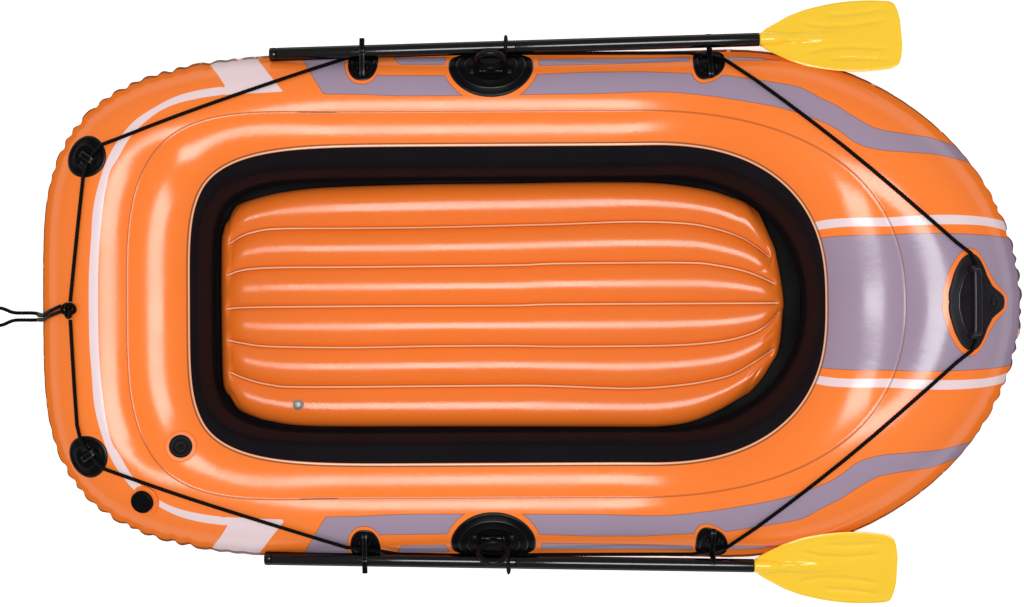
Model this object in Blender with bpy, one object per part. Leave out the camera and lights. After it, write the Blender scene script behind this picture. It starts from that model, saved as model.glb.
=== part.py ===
"""Inflatable raft: two air chambers round a cockpit, a channelled floor, a grab line and stowed oars.

Metres, +X to the bow, +Z up. The raft stands on z = 0 and the origin is under its middle.
"""

import math
from collections import namedtuple

import bmesh
import bpy
from mathutils import Matrix, Vector
from mathutils.bvhtree import BVHTree

# Hull, seen from above
HULL_LENGTH = 1.860
HULL_BEAM = 0.976
OUTER_WIDTH = {"side": 0.124, "stern": 0.185, "bow": 0.245}
INNER_WIDTH = {"side": 0.124, "stern": 0.147, "bow": 0.169}
# Length over which each line rounds in at the stern and at the bow, with the power of its curve
OUTER_ROUNDING = {"stern": 0.739, "bow": 0.561, "stern_power": 3.73, "bow_power": 1.93}
WALL_ROUNDING = {"stern": 0.372, "bow": 0.498, "stern_power": 3.57, "bow_power": 2.20}
COCKPIT_ROUNDING = {"stern": 0.413, "bow": 0.247, "stern_power": 5.54, "bow_power": 2.04}

# Hull, in section
OUTER_RADIUS = {"side": 0.0965, "stern": 0.122, "bow": 0.154}
STERN_SWELL = (-0.35, -0.70)
BOW_SWELL = (0.15, 0.65)
BOW_LIFT = 0.045
BOW_LIFT_SPAN = (0.25, 0.685)
GROUND_FLAT = 0.004
FLANGE_WIDTH = 0.006
FLANGE_THICK = 0.0024
WALL_THICK = 0.0012
WALL_TRIM = 0.002
GAP = 0.0004
SEAT_GAP = 0.0004
PLATE_RIM = 0.0010
STATIONS = 56
ARC_STEPS = 16
TURN_SHARE = 0.5
REACH_STEP = 0.02

# Bottom sheet and floor mattress
SHEET_THICK = 0.0025
SHEET_WELD_ANGLE = math.radians(60.0)
SHEET_INSET = 0.045
SHEET_RISE = 0.033
SHEET_RISE_SPAN = (0.20, 0.56)
SHEET_RINGS = (1.0, 0.84, 0.66, 0.45)
MATTRESS_RISE = 0.038
MATTRESS_RISE_SPAN = (0.14, 0.52)
MATTRESS_BASE = 0.0045
MATTRESS_INSET = 0.004
MATTRESS_CROWN = 0.058
MATTRESS_GROOVE = 0.046
MATTRESS_SEAM = 0.028
MATTRESS_END_ROLL = 0.060
CHANNEL_SPACING = 0.0756
CHANNEL_STERN_SPACING = 0.061
CHANNEL_PINCH_LENGTH = 0.09
CHANNELS_A_SIDE = 3
CHANNEL_STEPS = 4

# Oars
OAR_RADIUS = 0.0125
OAR_END_CAP = 0.014
OAR_CAP_CHAMFER = 0.003
SPIGOT_RADIUS = 0.0095
SPIGOT_LENGTH = 0.050
BORE_RADIUS = 0.0099
BLADE_NECK_RADIUS = 0.0135
BLADE_NECK_LENGTH = 0.045
BLADE_LENGTH = 0.260
BLADE_HALF_WIDTH = 0.0734
# The blade's outline: share of its length from the neck, and share of its half width there
BLADE_OUTLINE = (
    (0.0, 0.180),
    (0.030, 0.290),
    (0.080, 0.400),
    (0.134, 0.510),
    (0.205, 0.655),
    (0.275, 0.755),
    (0.347, 0.840),
    (0.490, 0.944),
    (0.632, 0.996),
    (0.774, 0.988),
    (0.902, 0.930),
    (0.940, 0.865),
    (0.962, 0.780),
    (0.985, 0.520),
    (0.997, 0.250),
)
BLADE_THICK = 0.0030
BLADE_RIDGE = 0.0030
BLADE_RIB = 0.0060
BLADE_TILT = math.radians(21.0)
OARS = {
    "port": {"aft": (-0.4865, 0.4774, 0.156), "fore": (0.4385, 0.4950, 0.199), "joint": 0.468},
    "starboard": {"aft": (-0.5020, -0.4815, 0.146), "fore": (0.4222, -0.4910, 0.210), "joint": 0.480},
}
STOP_RADIUS = 0.0235
STOP_BORE = 0.0130
STOP_THICK = 0.0062
STOP_X = -0.0370

# Oarlocks
OARLOCK_X = -0.066
OARLOCK_HEIGHT_ANGLE = math.radians(46.0)
OARLOCK_PLATE_LENGTH = 0.161
OARLOCK_PLATE_WIDTH = 0.126
OARLOCK_SEAT = 0.005
OARLOCK_PLATE_THICK = 0.0026
RING_PIVOT_ANGLE = math.radians(59.0)
RING_BORE_RADIUS = 0.0200
RING_TUBE_RADIUS = 0.0062
RING_ROOT = 0.0040
RING_BARREL_RADIUS = 0.0045
RING_BARREL_LENGTH = 0.032
RING_PIN_RADIUS = 0.0024
RING_PIN_GAP = 0.0005
LUG_LENGTH = 0.006
LUG_WIDTH = 0.013
LUG_TOP = 0.0165
RING_LEAN = {"port": math.radians(66.0), "starboard": math.radians(52.0)}

# Oar straps and their patches
STRAP_X = {"aft": -0.313, "fore": 0.342}
STRAP_PATCH_LENGTH = 0.057
STRAP_PATCH_WIDTH = 0.096
STRAP_PATCH_ANGLE = math.radians(36.5)
STRAP_PATCH_THICK = 0.0024
STRAP_WIDTH = 0.0100
STRAP_THICK = 0.0030
STRAP_ROOT_ANGLE = math.radians(57.0)
STRAP_TIP = 0.016
STRAP_SLACK = 0.0015
STRAP_ROPE_Y = {"aft": 0.4625, "fore": 0.469}
PATCH_ROPE_LIFT = 0.0067

# Rope eyelets on the stern quarters
EYELET_FROM_STERN = 0.109
EYELET_Y = 0.280
EYELET_LENGTH = 0.080
EYELET_WIDTH = 0.086
EYELET_THICK = 0.0024
# The middle of the bar, as its shift from the middle of the eyelet: towards the bow and outwards
EYELET_BAR_SHIFT = (0.0105, -0.005)
EYELET_ROPE_LIFT = 0.0078
EYELET_BAR_LENGTH = 0.029
EYELET_BAR_WIDTH = 0.0125
EYELET_BAR_THICK = 0.0032
EYELET_BAR_TURN = math.radians(-32.0)

# Bow handle
HANDLE_FROM_BOW = 0.119
# The plate's outline: a leaf across the bow with a lug towards the tip, as degrees from the bow and reach
HANDLE_OUTLINE = (
    (0.0, 0.0600),
    (10.0, 0.0585),
    (16.0, 0.0540),
    (29.0, 0.0461),
    (40.0, 0.0430),
    (49.0, 0.0434),
    (67.0, 0.0510),
    (79.0, 0.0660),
    (89.0, 0.0820),
    (98.0, 0.0886),
    (109.5, 0.0845),
    (124.0, 0.0730),
    (145.5, 0.0600),
    (180.0, 0.0529),
)
HANDLE_PLATE_THICK = 0.003
GRIP_AFT = 0.0153
GRIP_LENGTH = 0.124
GRIP_WIDTH = 0.0155
GRIP_THICK = 0.009
GRIP_RISE = 0.026
GRIP_LEG = 0.0065
GRIP_LEG_INSET = 0.0006

# Valves
OUTER_VALVE = {"from_stern": 0.215, "y": -0.3614}
INNER_VALVE = {"from_stern": 0.286, "y": -0.2604}
VALVE_FLANGE_RADIUS = 0.029
VALVE_COLLAR_RADIUS = 0.0178
VALVE_BARREL_RADIUS = 0.0160
VALVE_BORE_RADIUS = 0.0134
VALVE_COLLAR_HEIGHT = 0.0075
VALVE_DEPTH = 0.020
VALVE_WEB = 0.003
VALVE_VENT_RADIUS = 0.004
VALVE_POCKET_RADIUS = 0.0170
CAP_RADIUS = 0.0210
CAP_TOP = 0.003
CAP_GAP = 0.0006
CAP_SKIRT = 0.006
FLOOR_VALVE = {"from_cockpit_stern": 0.150, "y": -0.1935}
FLOOR_VALVE_RADIUS = 0.0107
FLOOR_VALVE_HEIGHT = 0.010
FLOOR_PLUG_RADIUS = 0.0046

# Ropes
ROPE_RADIUS = 0.0035
ROPE_GAP = 0.0008
ROPE_LIFT = ROPE_RADIUS + ROPE_GAP
ROPE_SPACING = 0.065
KNOT_PLACE = {"from_stern": 0.082, "y": -0.006}
KNOT_LOBE = 0.0045
KNOT_WEAVE = 0.0041
KNOT_STEPS = 42
# The grab line's route on one side, as x, y and lift of its middle line above the bare skin
GRAB_LINE_START_PORT = (-0.8480, 0.0095, ROPE_LIFT + 0.001)
GRAB_LINE_START_STARBOARD = (-0.8480, 0.0240, ROPE_LIFT + 0.001)
GRAB_LINE = [
    (-0.8430, 0.2200, ROPE_LIFT),
    (-0.8340, 0.2450, EYELET_ROPE_LIFT),
    (-0.8105, 0.2745, EYELET_ROPE_LIFT),
    (-0.7860, 0.3005, EYELET_ROPE_LIFT),
    (-0.7600, 0.3100, ROPE_LIFT),
    (-0.3450, 0.4590, PATCH_ROPE_LIFT),
    (-0.3130, 0.4625, PATCH_ROPE_LIFT),
    (-0.2780, 0.4680, 0.0058),
    (-0.1500, 0.4780, 0.0072),
    (-0.1100, 0.4780, 0.0092),
    (-0.0250, 0.4780, 0.0092),
    (0.0200, 0.4780, 0.0072),
    (0.3100, 0.4760, PATCH_ROPE_LIFT),
    (0.3420, 0.4690, PATCH_ROPE_LIFT),
    (0.3720, 0.4590, PATCH_ROPE_LIFT),
    (0.7700, 0.1080, ROPE_LIFT),
    (0.7970, 0.0870, 0.0085),
    (0.8045, 0.0690, 0.0085),
    (0.8090, 0.0540, 0.0085),
    (0.8090, 0.0000, 0.0085),
]
# The tow line's two strands: over the stern, down to the ground, along it and round the loop
TOW_PORT = [(-0.8700, 0.0010), (-0.8900, -0.0060), (-0.9060, -0.0120), (-0.9170, -0.0160)]
TOW_STARBOARD = [(-0.8700, -0.0090), (-0.8900, -0.0150), (-0.9060, -0.0205), (-0.9170, -0.0245)]
TOW_DROP = [(-0.9310, 0.145), (-0.9355, 0.118), (-0.9375, 0.080), (-0.9430, 0.042), (-0.9590, 0.016)]
TOW_PORT_GROUND = [(-0.9800, -0.0120), (-1.0180, -0.0110), (-1.0450, -0.0020)]
TOW_STARBOARD_GROUND = [(-0.9800, -0.0260), (-1.0180, -0.0265), (-1.0450, -0.0360)]
TOW_LOOP = [(-1.0780, -0.0050), (-1.0880, -0.0190), (-1.0780, -0.0330)]
TOW_POINTS = 56

# Colour and roughness of each finish
FINISHES = {
    "orange PVC": ((0.93, 0.22, 0.05), 0.25),
    "black PVC": ((0.02, 0.02, 0.022), 0.40),
    "moulded vinyl": ((0.015, 0.015, 0.015), 0.35),
    "yellow plastic": ((0.95, 0.55, 0.03), 0.30),
    "black tube": ((0.02, 0.02, 0.02), 0.25),
    "clear vinyl": ((0.70, 0.70, 0.68), 0.15),
    "twisted rope": ((0.01, 0.01, 0.01), 0.85),
}

Station = namedtuple("Station", "point outward outer inner radius half_wall height")
Skin = namedtuple("Skin", "point normal along station")


def clear_scene():
    """Takes every object out of the scene."""
    for old in list(bpy.data.objects):
        bpy.data.objects.remove(old, do_unlink=True)


def smooth(value):
    """0 up to 0, 1 from 1, and an S curve between."""
    value = min(max(value, 0.0), 1.0)
    return value * value * (3.0 - 2.0 * value)


def mix(low, high, share):
    """The value a share of the way from low to high."""
    return low + (high - low) * share


def ramp(x, span):
    """How far x is through a span, as an S curve."""
    return smooth((x - span[0]) / (span[1] - span[0]))


def make_material(name, finish):
    """A plain Principled material of one of the raft's finishes."""
    colour, roughness = FINISHES[finish]
    made = bpy.data.materials.new(f"{finish} {name}")
    made.use_nodes = True
    shader = made.node_tree.nodes["Principled BSDF"]
    shader.inputs["Base Color"].default_value = (*colour, 1.0)
    shader.inputs["Roughness"].default_value = roughness
    shader.inputs["Metallic"].default_value = 0.0
    return made


def new_object(name, mesh_maker, finish, smooth_angle=40.0):
    """An object of one closed mesh, which mesh_maker fills in a bmesh."""
    bm = bmesh.new()
    mesh_maker(bm)
    bmesh.ops.recalc_face_normals(bm, faces=bm.faces)
    mesh = bpy.data.meshes.new(name)
    bm.to_mesh(mesh)
    bm.free()
    mesh.shade_smooth()
    mesh.set_sharp_from_angle(angle=math.radians(smooth_angle))
    made = bpy.data.objects.new(name, mesh)
    made.data.materials.append(make_material(name, finish))
    bpy.context.scene.collection.objects.link(made)
    return made


def make_cutter(made):
    """Marks an object as a tool for a Boolean and not a piece of the raft."""
    made.hide_render = True
    made.display_type = "WIRE"
    return made


def boolean(target, tool, operation):
    """Adds a live Boolean modifier."""
    cut = target.modifiers.new(f"{operation.lower()} {tool.name}", "BOOLEAN")
    cut.operation = operation
    cut.object = tool
    cut.solver = "EXACT"


def closed_loft(bm, rings, around=True, closed_end=False):
    """Joins equal rings of points into a skin: round in a loop, or with both ends capped."""
    verts = [[bm.verts.new(point) for point in ring] for ring in rings]
    count = len(verts[0])
    last = len(verts) if around else len(verts) - 1
    for i in range(last):
        here = verts[i]
        there = verts[(i + 1) % len(verts)]
        for j in range(count):
            k = (j + 1) % count
            bm.faces.new((here[j], here[k], there[k], there[j]))
    if closed_end:
        bm.faces.new(verts[0])
        bm.faces.new(reversed(verts[-1]))
    return verts


def triangle_loft(bm, rings):
    """A loop of rings split into triangles one way, so that a grown copy follows it exactly."""
    closed_loft(bm, rings)
    bmesh.ops.triangulate(bm, faces=bm.faces, quad_method="FIXED")


class PlanCurve:
    """A hull line seen from above: straight sides, a squarish stern and a rounder bow."""

    def __init__(self, stern, bow, half_beam, rounding):
        self.stern = stern
        self.bow = bow
        self.half_beam = half_beam
        self.stern_round = rounding["stern"]
        self.bow_round = rounding["bow"]
        self.stern_power = rounding["stern_power"]
        self.bow_power = rounding["bow_power"]
        self.straight_aft = stern + self.stern_round
        self.straight_fore = bow - self.bow_round

    def level(self, x, y):
        """Below 1 inside the line and above 1 outside it."""
        along = 0.0
        power = 2.0
        if x < self.straight_aft:
            along = (self.straight_aft - x) / self.stern_round
            power = self.stern_power
        elif x > self.straight_fore:
            along = (x - self.straight_fore) / self.bow_round
            power = self.bow_power
        return (along**power + abs(y / self.half_beam) ** power) ** (1.0 / power)

    def half_width(self, x):
        """Half the breadth of the line at x."""
        along = 0.0
        power = 2.0
        if x < self.straight_aft:
            along = min((self.straight_aft - x) / self.stern_round, 1.0)
            power = self.stern_power
        elif x > self.straight_fore:
            along = min((x - self.straight_fore) / self.bow_round, 1.0)
            power = self.bow_power
        return self.half_beam * (1.0 - along**power) ** (1.0 / power)

    def reach(self, start, direction):
        """The distance from a point to where a direction first crosses the line."""
        inside = self.level(start.x, start.y) < 1.0
        far = REACH_STEP
        while (self.level(*(start + direction * far).xy) < 1.0) == inside:
            far += REACH_STEP
        near = far - REACH_STEP
        for _ in range(30):
            middle = (near + far) / 2.0
            if (self.level(*(start + direction * middle).xy) < 1.0) == inside:
                near = middle
            else:
                far = middle
        return near

    def half_outline(self, count, turn_share=0.0):
        """Points of the port half from bow to stern, spaced by length and by how the line turns."""
        rough = []
        for i in range(801):
            angle = math.pi * i / 800
            cosine = math.cos(angle)
            sine = max(math.sin(angle), 0.0)
            if cosine >= 0.0:
                power = 2.0 / self.bow_power
                x = self.straight_fore + self.bow_round * cosine**power
            else:
                power = 2.0 / self.stern_power
                x = self.straight_aft - self.stern_round * (-cosine) ** power
            rough.append(Vector((x, self.half_beam * sine**power, 0.0)))
        fine = even_points(rough, 801)
        weights = []
        for i in range(800):
            before = fine[i] - fine[max(i - 1, 0)] if i else fine[1] - fine[0]
            turning = before.angle(fine[i + 1] - fine[i])
            weights.append((1.0 - turn_share) / 800 + turn_share * turning / math.pi)
        return even_points(fine, count, weights)


def even_points(rough, count, weights=None):
    """Points at even distances along a line of points, or at even sums of its steps' weights."""
    travelled = [0.0]
    for i, (a, b) in enumerate(zip(rough, rough[1:])):
        travelled.append(travelled[-1] + (weights[i] if weights else (b - a).length))
    out = []
    i = 0
    for k in range(count):
        goal = travelled[-1] * k / (count - 1)
        while i < len(rough) - 2 and travelled[i + 1] < goal:
            i += 1
        span = max(travelled[i + 1] - travelled[i], 1e-12)
        out.append(rough[i].lerp(rough[i + 1], min((goal - travelled[i]) / span, 1.0)))
    return out


STERN_X = -HULL_LENGTH / 2.0
BOW_X = HULL_LENGTH / 2.0
OUTER_LINE = PlanCurve(STERN_X, BOW_X, HULL_BEAM / 2.0, OUTER_ROUNDING)
WALL_LINE = PlanCurve(
    STERN_X + OUTER_WIDTH["stern"],
    BOW_X - OUTER_WIDTH["bow"],
    HULL_BEAM / 2.0 - OUTER_WIDTH["side"],
    WALL_ROUNDING,
)
COCKPIT_LINE = PlanCurve(
    WALL_LINE.stern + INNER_WIDTH["stern"],
    WALL_LINE.bow - INNER_WIDTH["bow"],
    WALL_LINE.half_beam - INNER_WIDTH["side"],
    COCKPIT_ROUNDING,
)


def outer_radius(x):
    """Radius of the outer chamber's section, by the place of its inner wall."""
    aft = ramp(x, STERN_SWELL)
    fore = ramp(x, BOW_SWELL)
    side = OUTER_RADIUS["side"]
    return side + (OUTER_RADIUS["stern"] - side) * aft + (OUTER_RADIUS["bow"] - side) * fore


def make_station(point, outward):
    """Measures the section that stands on the partition at a point."""
    outer = OUTER_LINE.reach(point, outward) - FLANGE_WIDTH
    inner = COCKPIT_LINE.reach(point, -outward)
    radius = outer_radius(point.x)
    half_wall = math.sqrt(max(2.0 * outer * radius - outer * outer, (0.5 * radius) ** 2))
    lift = BOW_LIFT * ramp(point.x, BOW_LIFT_SPAN)
    return Station(point, outward, outer, inner, radius, half_wall, lift + radius - GROUND_FLAT)


def make_stations(count, turn_share=TURN_SHARE):
    """Sections round the hull, from the bow over port, the stern and starboard."""
    half = WALL_LINE.half_outline(count // 2 + 1, turn_share)
    fine = WALL_LINE.half_outline(801)
    port = []
    for i, point in enumerate(half):
        place = min(range(801), key=lambda k: (fine[k] - point).length_squared)
        before = fine[max(place - 8, 0)]
        after = fine[min(place + 8, 800)]
        run = (after - before).normalized()
        outward = Vector((run.y, -run.x, 0.0))
        if i == 0:
            outward = Vector((1.0, 0.0, 0.0))
        if i == count // 2:
            outward = Vector((-1.0, 0.0, 0.0))
        port.append((point, -outward if outward.dot(point) < 0.0 else outward))
    starboard = [
        (Vector((p.x, -p.y, 0.0)), Vector((n.x, -n.y, 0.0))) for p, n in reversed(port[1:-1])
    ]
    return [make_station(p, n) for p, n in port + starboard]


def wall_face():
    """How far a chamber's flat wall stands from the middle of the partition."""
    return WALL_THICK / 2.0 + GAP


def outer_arc(station):
    """Radius and centre of the outer chamber's arc, measured out from the partition."""
    face = wall_face()
    width = station.outer - face
    radius = (width * width + station.half_wall**2) / (2.0 * width)
    return radius, face + width - radius


def inner_arc(station):
    """Radius and centre of the inner chamber's arc, measured inward from the partition."""
    face = wall_face()
    width = station.inner - face
    radius = (width * width + station.half_wall**2) / (2.0 * width)
    return radius, face + width - radius


def section_point(station, out, up):
    """World point of a section, kept above the ground."""
    point = station.point + station.outward * out
    return Vector((point.x, point.y, max(station.height + up, 0.0)))


def outer_ring(station, steps, grow=0.0, flange=True):
    """The outer chamber's section: a flat wall, an arc and the welded seam flange."""
    radius, centre = outer_arc(station)
    start = math.atan2(station.half_wall, wall_face() - centre)
    ring = []
    for j in range(steps + 1):
        if flange and j == steps // 2:
            half = FLANGE_THICK / 2.0 + grow
            root = centre + math.sqrt((radius + grow) ** 2 - half * half)
            edge = station.outer + FLANGE_WIDTH + grow
            ring += [(root, half), (edge, half), (edge, -half), (root, -half)]
            continue
        angle = start * (1.0 - 2.0 * j / steps)
        ring.append((centre + (radius + grow) * math.cos(angle), (radius + grow) * math.sin(angle)))
    return [section_point(station, out, up) for out, up in ring]


def inner_ring(station, steps, grow=0.0):
    """The inner chamber's section: a flat wall and the arc that walls the cockpit."""
    radius, centre = inner_arc(station)
    start = math.atan2(station.half_wall, wall_face() - centre)
    ring = []
    for j in range(steps + 1):
        angle = start * (1.0 - 2.0 * j / steps)
        ring.append((-centre - (radius + grow) * math.cos(angle), (radius + grow) * math.sin(angle)))
    return [section_point(station, out, up) for out, up in ring]


def partition_ring(station):
    """The wall between the chambers."""
    half = WALL_THICK / 2.0
    top = station.half_wall - WALL_TRIM
    low = -min(top, station.height - WALL_TRIM)
    corners = ((half, top), (half, low), (-half, low), (-half, top))
    return [section_point(station, out, up) for out, up in corners]


class HullSkin:
    """Finds points on the chambers' outside for what is seated there."""

    def __init__(self):
        self.stations = make_stations(720, 0.0)
        self.trees = {
            "outer": self.tree([outer_ring(s, 64, flange=False) for s in self.stations[::3]]),
            "inner": self.tree([inner_ring(s, 64) for s in self.stations[::3]]),
        }

    def tree(self, rings):
        """A search tree of the lofted rings."""
        points = [point for ring in rings for point in ring]
        count = len(rings[0])
        faces = []
        for i in range(len(rings)):
            for j in range(count):
                k = (j + 1) % count
                n = (i + 1) % len(rings)
                faces.append((i * count + j, i * count + k, n * count + k, n * count + j))
        return BVHTree.FromPolygons(points, faces)

    def nearest_station(self, x, y):
        """The section that passes nearest to a point in plan."""
        return min(self.stations, key=lambda s: (s.point.x - x) ** 2 + (s.point.y - y) ** 2)

    def above(self, x, y):
        """The skin above a point in plan."""
        station = self.nearest_station(x, y)
        out = (Vector((x, y, 0.0)) - station.point).dot(station.outward)
        if out >= 0.0:
            radius, centre = outer_arc(station)
            lean = min(max((out - centre) / radius, -0.999), 0.999)
            way = station.outward
        else:
            radius, centre = inner_arc(station)
            lean = min(max((-out - centre) / radius, -0.999), 0.999)
            way = -station.outward
        rise = math.sqrt(1.0 - lean * lean)
        normal = (way * lean + Vector((0.0, 0.0, rise))).normalized()
        point = Vector((x, y, station.height + radius * rise))
        along = Vector((-station.outward.y, station.outward.x, 0.0))
        return Skin(point, normal, along, station)

    def at_angle(self, x, side, angle):
        """The outer chamber's skin at a height angle above its widest line."""
        edge = OUTER_LINE.half_width(x)
        station = self.nearest_station(x, side * (edge - OUTER_WIDTH["side"]))
        radius, centre = outer_arc(station)
        out = station.outward * math.cos(angle) + Vector((0.0, 0.0, math.sin(angle)))
        point = station.point + station.outward * centre + Vector((0.0, 0.0, station.height)) + out * radius
        along = Vector((1.0, 0.0, 0.0))
        return Skin(Vector((x, point.y, point.z)), out, along, station)

    def drape(self, tree, point, normal):
        """The skin under a point, along a seat's own normal."""
        hit = self.trees[tree].ray_cast(point + normal * 0.08, -normal, 0.25)
        return hit[0] if hit[0] is not None else point

    def rope_height(self, x, y, lift):
        """The height of a rope's middle line that keeps a given distance from both chambers."""
        station = self.nearest_station(x, y)
        out = (Vector((x, y, 0.0)) - station.point).dot(station.outward)
        rises = []
        for (radius, centre), place in ((outer_arc(station), out), (inner_arc(station), -out)):
            rises.append((radius + lift) ** 2 - (place - centre) ** 2)
        return station.height + math.sqrt(max(*rises, 0.0))


def seat_frame(point, normal, along):
    """A frame whose Z is the seat's normal and whose X runs along the hull."""
    z = normal.normalized()
    x = (along - z * along.dot(z)).normalized()
    y = z.cross(x)
    frame = Matrix((x, y, z)).transposed().to_4x4()
    frame.translation = point
    return frame


def plate_maker(hull, tree, frame, outline, heights, segments, sink=0.005):
    """A plate draped on the hull, whose height follows rings from its middle to its rim."""

    def fill(bm):
        normal = frame.to_3x3() @ Vector((0.0, 0.0, 1.0))

        def ring(share, height):
            points = []
            for k in range(segments):
                angle = 2.0 * math.pi * k / segments
                reach = outline(angle) * share
                local = Vector((reach * math.cos(angle), reach * math.sin(angle), 0.0))
                points.append(hull.drape(tree, frame @ local, normal) + normal * height)
            return [bm.verts.new(point) for point in points]

        middle = hull.drape(tree, frame.translation, normal)
        rings = [ring(share, height) for share, height in heights]
        rings.append(ring(1.0, -sink))
        rings.append(ring(0.5, -sink))
        top = bm.verts.new(middle + normal * heights[0][1])
        bottom = bm.verts.new(middle - normal * sink)
        for k in range(segments):
            n = (k + 1) % segments
            bm.faces.new((top, rings[0][k], rings[0][n]))
            for near, far in zip(rings, rings[1:]):
                bm.faces.new((near[k], far[k], far[n], near[n]))
            bm.faces.new((bottom, rings[-1][n], rings[-1][k]))

    return fill


def bar_maker(path, across, width, thick, chamfer=0.25):
    """A bar of chamfered rectangular section along a path; across gives its width's direction."""

    def fill(bm):
        rings = []
        for i, point in enumerate(path):
            before = path[max(i - 1, 0)]
            after = path[min(i + 1, len(path) - 1)]
            run = (after - before).normalized()
            side = (across - run * across.dot(run)).normalized()
            up = side.cross(run)
            w = width / 2.0
            t = thick / 2.0
            c = t * chamfer * 2.0
            upper = [(w, t - c), (w - c, t), (c - w, t), (-w, t - c)]
            shape = upper + [(a, -b) for a, b in reversed(upper)]
            rings.append([point + side * a + up * b for a, b in shape])
        closed_loft(bm, rings, around=False, closed_end=True)

    return fill


def turned_maker(profile, segments, hollow=False):
    """A turned piece: (radius, height) points spun round Z, from axis to axis or as a closed ring."""

    def fill(bm):
        verts = [bm.verts.new((r, 0.0, z)) for r, z in profile]
        edges = [bm.edges.new(pair) for pair in zip(verts, verts[1:])]
        if hollow:
            edges.append(bm.edges.new((verts[-1], verts[0])))
        spin_round_z(bm, verts + edges, segments)

    return fill


def spin_round_z(bm, geometry, segments):
    """Spins an outline once round Z and closes it on itself."""
    bmesh.ops.spin(
        bm,
        geom=geometry,
        cent=(0.0, 0.0, 0.0),
        axis=(0.0, 0.0, 1.0),
        angle=2.0 * math.pi,
        steps=segments,
        use_merge=True,
    )
    bmesh.ops.remove_doubles(bm, verts=bm.verts, dist=1e-6)


def cylinder_profile(radius, low, high):
    """Half section of a plain cylinder between two heights."""
    return [(0.0, high), (radius, high), (radius, low), (0.0, low)]


def oval(length, width, power=2.0):
    """The reach of an oval outline at an angle; a higher power squares it."""

    def reach(angle):
        a = abs(math.cos(angle) / (length / 2.0)) ** power
        b = abs(math.sin(angle) / (width / 2.0)) ** power
        return (a + b) ** (-1.0 / power)

    return reach


def make_hull():
    """The two chambers, the wall between them and the tools that seat fittings on them."""
    stations = make_stations(STATIONS)
    parts = {
        "outer_chamber": [outer_ring(s, ARC_STEPS) for s in stations],
        "inner_chamber": [inner_ring(s, ARC_STEPS) for s in stations],
        "chamber_partition": [partition_ring(s) for s in stations],
    }
    colours = {"outer_chamber": "orange PVC", "inner_chamber": "orange PVC", "chamber_partition": "black PVC"}
    made = {}
    for name, rings in parts.items():
        made[name] = new_object(name, lambda bm, r=rings: triangle_loft(bm, r), colours[name], 30.0)
    seats = {
        "outer": [outer_ring(s, ARC_STEPS, SEAT_GAP) for s in stations],
        "inner": [inner_ring(s, ARC_STEPS, SEAT_GAP) for s in stations],
    }
    for name, rings in seats.items():
        tool = new_object(f"seat_{name}", lambda bm, r=rings: triangle_loft(bm, r), "black PVC")
        made[f"seat_{name}"] = make_cutter(tool)
    return made


def sheet_height(x):
    """How far the bottom sheet has risen from the ground towards the bow."""
    return SHEET_RISE * ramp(x, SHEET_RISE_SPAN)


def make_bottom_sheet():
    """The black bottom sheet, welded low on the inner chamber all round."""
    stations = make_stations(STATIONS)

    def fill(bm):
        def edge(station, offset):
            radius, centre = inner_arc(station)
            out = -centre - (radius + offset) * math.cos(SHEET_WELD_ANGLE)
            up = -(radius + offset) * math.sin(SHEET_WELD_ANGLE)
            return section_point(station, out, up)

        def flat(station, share, thick):
            rim = edge(station, GAP)
            point = rim - station.outward * SHEET_INSET
            x = point.x * share
            return Vector((x, point.y * share, sheet_height(x) + thick))

        layers = []
        for thick, offset in ((SHEET_THICK, GAP), (0.0, GAP + SHEET_THICK)):
            rings = [[bm.verts.new(edge(s, offset)) for s in stations]]
            for share in SHEET_RINGS:
                rings.append([bm.verts.new(flat(s, share, thick)) for s in stations])
            centre = bm.verts.new((0.0, 0.0, sheet_height(0.0) + thick))
            layers.append((rings, centre))
        count = len(stations)
        for rings, centre in layers:
            for k in range(count):
                n = (k + 1) % count
                for near, far in zip(rings, rings[1:]):
                    bm.faces.new((near[k], near[n], far[n], far[k]))
                bm.faces.new((rings[-1][k], rings[-1][n], centre))
        top = layers[0][0][0]
        low = layers[1][0][0]
        for k in range(count):
            n = (k + 1) % count
            bm.faces.new((top[k], low[k], low[n], top[n]))

    return new_object("bottom_sheet", fill, "black PVC")


def arch(share):
    """A half circle's height, from 0 at the ends of 0 to 1 to 1 in the middle."""
    return math.sqrt(max(1.0 - (2.0 * share - 1.0) ** 2, 0.0))


def mattress_heights(channel):
    """Top and underside of the floor at a place across it, counted in channels from its middle."""
    place = abs(channel)
    share = place % 1.0
    last = CHANNELS_A_SIDE - 0.5
    rise = MATTRESS_CROWN - MATTRESS_GROOVE
    top = MATTRESS_GROOVE + rise * arch(share)
    low = MATTRESS_BASE
    if place > last:
        roll = math.sqrt(max(1.0 - ((place - last) * 2.0) ** 2, 0.0))
        top = mix(MATTRESS_SEAM, MATTRESS_CROWN, roll)
        low = mix(MATTRESS_SEAM, low, roll)
    return top, low


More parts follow.
